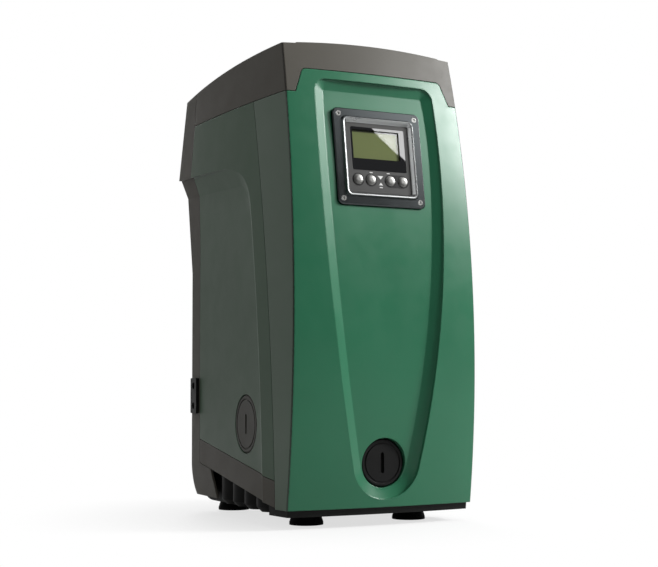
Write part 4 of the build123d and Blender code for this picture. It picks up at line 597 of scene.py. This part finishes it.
def even_normals(mesh):
    """Gives each corner the mean of the faces round its point, less of those that turn away from its own."""
    faces_at = [[] for _ in mesh.vertices]
    for face in mesh.polygons:
        for index in face.vertices:
            faces_at[index].append((face.normal.copy(), face.area))
    normals = []
    for face in mesh.polygons:
        own = face.normal
        for index in face.vertices:
            total = Vector()
            for normal, area in faces_at[index]:
                share = min(1.0, max(0.0, (own.dot(normal) - OTHER_FACE) / (SAME_FACE - OTHER_FACE)))
                total += normal * (area * share)
            normals.append(total.normalized() if total.length > 0 else own.copy())
    mesh.normals_split_custom_set(normals)


def finished(node, name, finish):
    """A merged copy of a CAD node with smooth normals that keep its edges."""
    mesh = NODES[node].data.copy()
    mesh.name = name
    work = bmesh.new()
    work.from_mesh(mesh)
    bmesh.ops.remove_doubles(work, verts=work.verts, dist=bpy.context.scene.pump_sizes.weld)
    bmesh.ops.dissolve_degenerate(work, dist=1e-6, edges=work.edges)
    work.to_mesh(mesh)
    work.free()
    mesh.shade_smooth()
    even_normals(mesh)
    return dress(bpy.data.objects.new(name, mesh), node, finish)


def piece_from(name, node, finish, build, replace=False):
    """A new piece whose mesh is filled by build(bmesh)."""
    mesh = bpy.data.meshes.new(name)
    work = bmesh.new()
    build(work)
    bmesh.ops.recalc_face_normals(work, faces=work.faces)
    work.to_mesh(mesh)
    work.free()
    return dress(bpy.data.objects.new(name, mesh), node, finish, replace)


# ------------------------------------------------------------ operators

TILT = math.radians(7.9)
FACE_OUT = Vector((0, -math.cos(TILT), math.sin(TILT)))
FACE_UP = Vector((0, math.sin(TILT), math.cos(TILT)))
FACE_RIGHT = Vector((1, 0, 0))


BUTTONS = ("left_button", "mode_button", "right_button", "set_button")
BUTTON_R = 0.0064
BUTTON_CROWN = 0.0009
RING = 0.0011                   # width of the ring of painted shade round a button
PRINT_AND_SHADE_SHEET = 0.00008                 # thickness of what is printed on the keypad, and of the rings of painted shade round the buttons
RIM_OUTER = 0.0473              # half width of the bezel's lip at its crest
RIM_WALL = 0.0018
RIM_INNER = 0.0421              # half width of the lip where it meets the keypad
RIM_CORNER = 0.005


def middle(node):
    """Centre of a CAD node's box."""
    low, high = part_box(node)
    return (Vector(low) + Vector(high)) / 2


def face_height(node):
    """How far a CAD node reaches along the display's outward direction."""
    return max(FACE_OUT.dot(corner.co) for corner in NODES[node].data.vertices)


def on_face(point, height):
    """A point moved along the display's outward direction to the given height."""
    return point + FACE_OUT * (height - FACE_OUT.dot(point))


def circle_point(radius, step, steps):
    """A step round a circle that lies in the display's plane."""
    angle = 2 * math.pi * step / steps
    return FACE_RIGHT * (radius * math.cos(angle)) + FACE_UP * (radius * math.sin(angle))


def rounded_square(half, radius, steps):
    """Points round a square with rounded corners, from its half width."""
    points = []
    for quarter in range(4):
        middle_angle = math.pi / 4 + quarter * math.pi / 2
        across = math.copysign(half - radius, math.cos(middle_angle))
        along = math.copysign(half - radius, math.sin(middle_angle))
        for step in range(steps + 1):
            angle = (quarter + step / steps) * math.pi / 2
            points.append((across + radius * math.cos(angle), along + radius * math.sin(angle)))
    return points


def join_loops(work, lower, upper):
    """Faces between two loops of as many corners."""
    count = len(lower)
    for k in range(count):
        work.faces.new((lower[k], lower[(k + 1) % count], upper[(k + 1) % count], upper[k]))


def plate(work, outlines, thickness):
    """A thin plate on the display's face: the first outline less the others."""
    edges = []
    for outline in outlines:
        ring = [work.verts.new(point) for point in outline]
        edges += [work.edges.new((ring[k], ring[(k + 1) % len(ring)])) for k in range(len(ring))]
    filled = bmesh.ops.triangle_fill(work, edges=edges, use_beauty=True, normal=FACE_OUT)["geom"]
    faces = [item for item in filled if isinstance(item, bmesh.types.BMFace)]
    raised = bmesh.ops.extrude_face_region(work, geom=faces, use_keep_orig=True)["geom"]
    corners = [item for item in raised if isinstance(item, bmesh.types.BMVert)]
    bmesh.ops.translate(work, verts=corners, vec=FACE_OUT * thickness)


class PUMP_OT_shells(bpy.types.Operator):
    """Cap, front cover, side panels, skirts and rear shell"""

    bl_idname = "pump.shells"
    bl_label = "Shells"

    def execute(self, context):
        finished("top_cap", "cap", "cap")
        finished("front_cover", "cover", "cover")
        finished("left_side_panel", "panel_left", "panel")
        finished("right_side_panel", "panel_right", "panel")
        finished("left_skirt", "skirt_left", "shell")
        finished("right_skirt", "skirt_right", "shell")
        finished("rear_shell", "rear_cover", "shell")
        finished("side_clip", "clip", "black")
        return {"FINISHED"}


class PUMP_OT_base(bpy.types.Operator):
    """Tray, feet and their inserts"""

    bl_idname = "pump.base"
    bl_label = "Base"

    def execute(self, context):
        finished("base_tray", "tray", "tray")
        for place in ("front_left", "front_right", "rear_left", "rear_right"):
            finished(place + "_foot", place + "_pad", "rubber")
        paint("foot_inserts", "brass")
        return {"FINISHED"}


class PUMP_OT_display(bpy.types.Operator):
    """Bezel, keypad, screen and their screws"""

    bl_idname = "pump.display"
    bl_label = "Display"

    def execute(self, context):
        finished("display_bezel", "bezel", "bezel")
        finished("keypad_fascia", "keypad_face", "fascia")
        finished("display_glass", "glass", "window")
        finished("lcd_panel", "screen_panel", "screen")
        finished("bezel_screws", "screws", "screw")
        for node in BUTTONS:
            finished(node, node + "_cap", "button")
            piece_from(node + "_dome", node, "button", lambda work, at=node: self.dome(work, at))
        paint("display_module", "black")
        piece_from("bezel_rim", "display_bezel", "rim", self.rim)
        piece_from("button_surrounds", "keypad_fascia", "black", self.surrounds)
        piece_from("keypad_symbols", "keypad_fascia", "print", self.symbols)
        return {"FINISHED"}

    def dome(self, work, node):
        """The crowned top of a button."""
        top = face_height(node)
        centre = on_face(middle(node), top)
        edge = BUTTON_R - 0.0006
        loops = []
        for angle in (0.0, 0.25, 0.55, 0.9, 1.2):
            radius, height = edge * math.cos(angle), BUTTON_CROWN * math.sin(angle)
            ring = [circle_point(radius, k, ROUND_STEPS) for k in range(ROUND_STEPS)]
            loops.append([work.verts.new(centre + FACE_OUT * height + point) for point in ring])
        for lower, upper in zip(loops, loops[1:]):
            join_loops(work, lower, upper)
        work.faces.new(loops[-1])
        work.faces.new(list(reversed(loops[0])))

    def rim(self, work):
        """The bright lip that slopes from the bezel's ridge down to the keypad."""
        centre = on_face(middle("display_bezel"), face_height("keypad_fascia"))
        crest = face_height("display_bezel") - face_height("keypad_fascia")
        ridge = RIM_OUTER - RIM_WALL
        section = [(ridge - 0.0001, 0.0), (ridge - 0.0001, crest), (RIM_OUTER, crest)]
        section += [(RIM_OUTER - 0.0006, crest + 0.0002)]
        section += [(ridge + 0.0002, crest + 0.0001), (ridge - 0.0006, crest - 0.0006)]
        section += [(RIM_INNER + 0.0009, 0.0010), (RIM_INNER + 0.0003, 0.0003), (RIM_INNER, 0.0)]
        loops = []
        for half, height in section:
            radius = RIM_CORNER + half - ridge
            ring = rounded_square(half, max(radius, 0.001), 8)
            level = centre + FACE_OUT * height
            loops.append([work.verts.new(level + FACE_RIGHT * x + FACE_UP * y) for x, y in ring])
        for lower, upper in zip(loops, loops[1:] + loops[:1]):
            join_loops(work, lower, upper)

    def surrounds(self, work):
        """Rings of painted shade round the left buttons, in the gaps where they sit, and one dark slot round
        the right pair.
        """
        level = face_height("keypad_fascia")
        places = [on_face(middle(node), level) for node in BUTTONS]
        hole = BUTTON_R + 0.0003
        reach = hole + RING
        quarter = ROUND_STEPS // 4
        holes = [[c + circle_point(hole, k, ROUND_STEPS) for k in range(ROUND_STEPS)] for c in places]
        # rings of painted shade round the left buttons
        for centre, ring in zip(places[:2], holes[:2]):
            outer = [centre + circle_point(reach, k, ROUND_STEPS) for k in range(ROUND_STEPS)]
            plate(work, [outer, ring], PRINT_AND_SHADE_SHEET)
        right = [places[3] + circle_point(reach, k, ROUND_STEPS) for k in range(-quarter, quarter + 1)]
        left = [places[2] + circle_point(reach, k, ROUND_STEPS) for k in range(quarter, 3 * quarter + 1)]
        plate(work, [right + left] + holes[2:], PRINT_AND_SHADE_SHEET)

    def symbols(self, work):
        """Two triangles and three dashes printed on the keypad."""
        size = bpy.context.scene.pump_sizes.glyph
        row = (middle("mode_button") + middle("right_button")) / 2
        seat = on_face(row, face_height("keypad_fascia"))
        half = size * 0.9
        dash = size / 2
        marks = [[(-half, size * 1.35), (half, size * 1.35), (0, size * 0.35)],
                 [(-half * 0.7, -size * 1.35), (half * 0.7, -size * 1.35), (0, -size * 0.55)]]
        for x, y in ((-2.9, 2.2), (2.6, 2.2), (0, -2.0)):
            across, along = x * size, y * size
            marks.append([(across - dash, along - dash / 4), (across + dash, along - dash / 4),
                          (across + dash, along + dash / 4), (across - dash, along + dash / 4)])
        for mark in marks:
            plate(work, [[seat + FACE_RIGHT * x + FACE_UP * y for x, y in mark]], PRINT_AND_SHADE_SHEET)


class PUMP_OT_plugs(bpy.types.Operator):
    """Screw plugs and their seals"""

    bl_idname = "pump.plugs"
    bl_label = "Plugs"

    def execute(self, context):
        finished("front_plug", "plug_front", "black")
        finished("side_plug", "plug_side", "plug")
        paint("front_plug_seal", "rubber")
        paint("side_plug_seal", "rubber")
        return {"FINISHED"}


LOUVRES = 7


def louvre_tree(material):
    """Geometry nodes: slanted blades in rows behind the grille's slots."""
    tree = bpy.data.node_groups.new("Louvre blades", "GeometryNodeTree")
    for label, default in (("Rows", LOUVRES), ("Columns", 2)):
        socket = tree.interface.new_socket(label, in_out="INPUT", socket_type="NodeSocketInt")
        socket.default_value = default
    for label, default in (("Pitch", 0.0105), ("Spread", 0.075), ("Width", 0.063), ("Depth", 0.006),
                           ("Thickness", 0.0012), ("Tilt", 0.9)):
        socket = tree.interface.new_socket(label, in_out="INPUT", socket_type="NodeSocketFloat")
        socket.default_value = default
    tree.interface.new_socket("Centre", in_out="INPUT", socket_type="NodeSocketVector")
    tree.interface.new_socket("Geometry", in_out="OUTPUT", socket_type="NodeSocketGeometry")
    t = Tree(tree)
    given = t.node("NodeGroupInput").outputs
    grid = t.node("GeometryNodeMeshGrid")
    rows = t.math("SUBTRACT", given["Rows"], 1.0)
    columns = t.math("SUBTRACT", given["Columns"], 1.0)
    t.link(t.math("MULTIPLY", given["Spread"], columns), grid.inputs["Size X"])
    t.link(t.math("MULTIPLY", given["Pitch"], rows), grid.inputs["Size Y"])
    t.link(given["Columns"], grid.inputs["Vertices X"])
    t.link(given["Rows"], grid.inputs["Vertices Y"])
    upright = t.node("GeometryNodeTransform")
    upright.inputs["Rotation"].default_value = (math.pi / 2, 0, 0)
    t.link(grid.outputs["Mesh"], upright.inputs["Geometry"])
    t.link(given["Centre"], upright.inputs["Translation"])
    blade = t.node("GeometryNodeMeshCube")
    size = t.node("ShaderNodeCombineXYZ")
    t.link(given["Width"], size.inputs[0])
    t.link(given["Thickness"], size.inputs[1])
    t.link(given["Depth"], size.inputs[2])
    t.link(size.outputs[0], blade.inputs["Size"])
    turn = t.node("ShaderNodeCombineXYZ")
    t.link(given["Tilt"], turn.inputs[0])
    copies = t.node("GeometryNodeInstanceOnPoints")
    t.link(upright.outputs["Geometry"], copies.inputs["Points"])
    t.link(blade.outputs["Mesh"], copies.inputs["Instance"])
    t.link(turn.outputs[0], copies.inputs["Rotation"])
    solid = t.node("GeometryNodeRealizeInstances")
    t.link(copies.outputs["Instances"], solid.inputs["Geometry"])
    coat = t.node("GeometryNodeSetMaterial")
    coat.inputs["Material"].default_value = material
    t.link(solid.outputs["Geometry"], coat.inputs["Geometry"])
    t.link(coat.outputs["Geometry"], t.node("NodeGroupOutput").inputs["Geometry"])
    return tree


def from_nodes(name, tree, values, node, finish):
    """Runs a geometry tree and keeps its result as a plain piece."""
    carrier = bpy.data.objects.new(name + "_maker", bpy.data.meshes.new(name + "_maker"))
    bpy.context.scene.collection.objects.link(carrier)
    modifier = carrier.modifiers.new("Maker", "NODES")
    modifier.node_group = tree
    for item in tree.interface.items_tree:
        if item.in_out == "INPUT" and item.name in values:
            modifier[item.identifier] = values[item.name]
    view = bpy.context.evaluated_depsgraph_get()
    mesh = bpy.data.meshes.new_from_object(carrier.evaluated_get(view))
    carrier.modifiers.remove(modifier)
    bpy.data.objects.remove(carrier)
    mesh.name = name
    return dress(bpy.data.objects.new(name, mesh), node, finish, replace=False)


class PUMP_OT_rear(bpy.types.Operator):
    """Vent grille, cable gland, ports and collars"""

    bl_idname = "pump.rear"
    bl_label = "Rear"

    def execute(self, context):
        finished("vent_grille", "grille", "black")
        finished("cable_gland", "gland", "black")
        finished("port_collars", "collars", "black")
        finished("inlet_port", "inlet", "brass")
        finished("outlet_port", "outlet", "brass")
        low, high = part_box("vent_grille")
        tree = louvre_tree(FINISHES["black"])
        values = {"Rows": LOUVRES, "Centre": (0.0, low[1] + 0.003, (low[2] + high[2]) / 2),
                  "Thickness": context.scene.pump_sizes.blade}
        from_nodes("louvre_blades", tree, values, "vent_grille", "black")
        return {"FINISHED"}


class PUMP_OT_machine(bpy.types.Operator):
    """Motor, pump, valve, pipes, vessel and electronics"""

    bl_idname = "pump.machine"
    bl_label = "Machine"

    def execute(self, context):
        for node, finish in MACHINE.items():
            paint(node, finish)
        return {"FINISHED"}


MACHINE = {
    "motor_jacket": "cast", "motor_end_bell": "cast", "bearing_bracket": "cast", "stator_core": "laminations",
    "rotor_core": "laminations", "stator_windings": "winding", "front_bearing": "bearing",
    "rear_bearing": "bearing",
    "mechanical_seal": "carbon", "pump_shaft": "stainless", "impellers": "nylon", "diffusers": "nylon",
    "pump_casing": "stainless", "motor_mounts": "rubber", "suction_manifold": "nylon", "valve_body": "nylon",
    "valve_guide": "nylon", "valve_poppet": "nylon", "discharge_elbow": "nylon",
    "discharge_pipe": "stainless",
    "expansion_vessel": "enamel", "chassis": "zinc", "vessel_strap": "zinc", "inverter_case": "cast",
    "control_board": "circuit", "inverter_lid": "black",
}


class PUMP_OT_stage(bpy.types.Operator):
    """Floor, lamps, world and camera"""

    bl_idname = "pump.stage"
    bl_label = "Stage"

    def execute(self, context):
        settings = context.scene.pump_stage
        self.floor(settings.backdrop)
        self.world(context.scene, settings)
        self.card(settings)
        target = Vector((0, 0, 0.28))
        self.lamp("Top softbox", Vector((0.3, -0.5, 2.3)), target, 1.5, 1.5, settings.top_light)
        self.lamp("Key softbox", Vector((2.5, -1.5, 1.9)), target, 1.0, 1.0, settings.key_light)
        self.lamp("Left softbox", Vector((-2.2, -0.5, 1.5)), target, 1.0, 1.2, settings.side_light)
        self.lamp("Rear softbox", Vector((0.5, 2.5, 1.4)), target, 1.4, 1.4, settings.rear_light)
        self.camera(context.scene, settings)
        return {"FINISHED"}

    def lamp(self, name, place, target, width, height, power):
        """A softbox aimed at the target."""
        data = bpy.data.lights.new(name, "AREA")
        data.shape = "RECTANGLE"
        data.size = width
        data.size_y = height
        data.energy = power
        made = bpy.data.objects.new(name, data)
        made.location = place
        made.rotation_mode = "QUATERNION"
        made.rotation_quaternion = (target - place).to_track_quat("-Z", "Y")
        bpy.context.scene.collection.objects.link(made)

    def floor(self, backdrop):
        """A pale floor that fades to white away from the object."""
        mesh = bpy.data.meshes.new("floor")
        work = bmesh.new()
        bmesh.ops.create_circle(work, cap_ends=True, segments=96, radius=14)
        work.to_mesh(mesh)
        work.free()
        made = bpy.data.objects.new("floor", mesh)
        bpy.context.scene.collection.objects.link(made)
        material, tree, shader, place = new_material("Floor")
        shader.inputs["Roughness"].default_value = 0.6
        path = tree.node("ShaderNodeLightPath")
        pale = tree.blend(tree.noise(place, 3, 3), (0.86, 0.86, 0.86), (0.9, 0.9, 0.9))
        tree.link(tree.blend(path.outputs["Is Diffuse Ray"], pale, FLOOR_BOUNCE), shader.inputs["Base Color"])
        distance = tree.node("ShaderNodeVectorMath", operation="LENGTH")
        tree.link(place, distance.inputs[0])
        far = tree.ramp(distance.outputs["Value"], 0.12, 0.40, 0.7, 1.0)
        mirrored = tree.math("MULTIPLY", path.outputs["Is Glossy Ray"], backdrop * FLOOR_SHEEN)
        seen = tree.math("MAXIMUM", path.outputs["Is Camera Ray"], mirrored)
        glow = tree.node("ShaderNodeEmission")
        mix = tree.node("ShaderNodeMixShader")
        tree.link(tree.math("MULTIPLY", far, seen), mix.inputs[0])
        tree.link(shader.outputs[0], mix.inputs[1])
        tree.link(glow.outputs[0], mix.inputs[2])
        out = next(n for n in material.node_tree.nodes if n.type == "OUTPUT_MATERIAL")
        tree.link(mix.outputs[0], out.inputs["Surface"])
        made.data.materials.append(material)

    def card(self, settings):
        """A reflector, seen only in polished surfaces."""
        mesh = bpy.data.meshes.new("reflector")
        work = bmesh.new()
        bmesh.ops.create_grid(work, x_segments=1, y_segments=1, size=settings.card_side / 2)
        place = Vector(settings.card_place)
        facing = (middle("display_glass") - place).to_track_quat("Z", "Y")
        facing = facing @ Quaternion((0, 0, 1), settings.card_turn)
        matrix = Matrix.Translation(place) @ facing.to_matrix().to_4x4()
        bmesh.ops.transform(work, verts=work.verts, matrix=matrix)
        work.to_mesh(mesh)
        work.free()
        made = bpy.data.objects.new("reflector", mesh)
        bpy.context.scene.collection.objects.link(made)
        for kind in ("camera", "diffuse", "shadow", "transmission", "volume_scatter"):
            setattr(made, "visible_" + kind, False)
        material, _, shader, _ = new_material("Reflector")
        shader.inputs["Base Color"].default_value = (0, 0, 0, 1)
        shader.inputs["Emission Color"].default_value = (1, 1, 1, 1)
        shader.inputs["Emission Strength"].default_value = settings.card
        made.data.materials.append(material)

    def world(self, scene, settings):
        """White behind the object, soft grey light from the room, and a dim room in front in reflections."""
        world = bpy.data.worlds.new("Studio")
        scene.world = world
        world.use_nodes = True
        tree = Tree(world.node_tree)
        back = next(n for n in world.node_tree.nodes if n.type == "BACKGROUND")
        path = tree.node("ShaderNodeLightPath").outputs
        behind = tree.axes(tree.node("ShaderNodeTexCoord").outputs["Generated"])["Y"]
        room = tree.ramp(behind, -0.1, 0.4, settings.room, settings.backdrop)
        mirrored = tree.math("MULTIPLY", path["Is Glossy Ray"], room)
        spread = tree.math("MULTIPLY", path["Is Diffuse Ray"], settings.fill)
        seen = tree.math("MAXIMUM", path["Is Camera Ray"], path["Is Transmission Ray"])
        tree.link(tree.math("MAXIMUM", seen, tree.math("MAXIMUM", mirrored, spread)), back.inputs["Strength"])
        back.inputs["Color"].default_value = (1, 1, 1, 1)

    def camera(self, scene, settings):
        """The camera at the object's usual three-quarter view."""
        data = bpy.data.cameras.new("Camera")
        data.lens = settings.lens
        data.sensor_width = 36
        made = bpy.data.objects.new("Camera", data)
        yaw, pitch = settings.camera_yaw, settings.camera_pitch
        look = Vector((math.sin(yaw) * math.cos(pitch), math.cos(yaw) * math.cos(pitch), math.sin(pitch)))
        made.location = settings.camera_place
        made.rotation_mode = "QUATERNION"
        made.rotation_quaternion = look.to_track_quat("-Z", "Y") @ Quaternion((0, 0, 1), settings.camera_roll)
        scene.collection.objects.link(made)
        scene.camera = made
        scene.view_settings.view_transform = "Standard"


class PUMP_PT_panel(bpy.types.Panel):
    """The pump's steps and settings"""

    bl_label = "Booster pump"
    bl_space_type = "VIEW_3D"
    bl_region_type = "UI"
    bl_category = "Pump"

    def draw(self, context):
        for step in STEPS:
            self.layout.operator("pump." + step)
        for settings in (context.scene.pump_colours, context.scene.pump_sizes, context.scene.pump_stage):
            box = self.layout.box()
            for name in settings.__annotations__:
                box.prop(settings, name)


STEPS = ("shells", "base", "display", "plugs", "rear", "machine", "stage")
CLASSES = (PumpColours, PumpSizes, PumpStage, PUMP_OT_shells, PUMP_OT_base, PUMP_OT_display, PUMP_OT_plugs,
           PUMP_OT_rear, PUMP_OT_machine, PUMP_OT_stage, PUMP_PT_panel)


def register():
    """Registers the classes and their settings."""
    for entry in CLASSES:
        bpy.utils.register_class(entry)
    bpy.types.Scene.pump_colours = bpy.props.PointerProperty(type=PumpColours)
    bpy.types.Scene.pump_sizes = bpy.props.PointerProperty(type=PumpSizes)
    bpy.types.Scene.pump_stage = bpy.props.PointerProperty(type=PumpStage)


def unregister():
    """Takes the settings and classes away again."""
    del bpy.types.Scene.pump_stage
    del bpy.types.Scene.pump_sizes
    del bpy.types.Scene.pump_colours
    for entry in reversed(CLASSES):
        bpy.utils.unregister_class(entry)


def main():
    """Builds everything."""
    register()
    FINISHES.update(build_finishes(bpy.context.scene.pump_colours))
    for step in STEPS:
        getattr(bpy.ops.pump, step)()


if __name__ == "__main__":
    main()
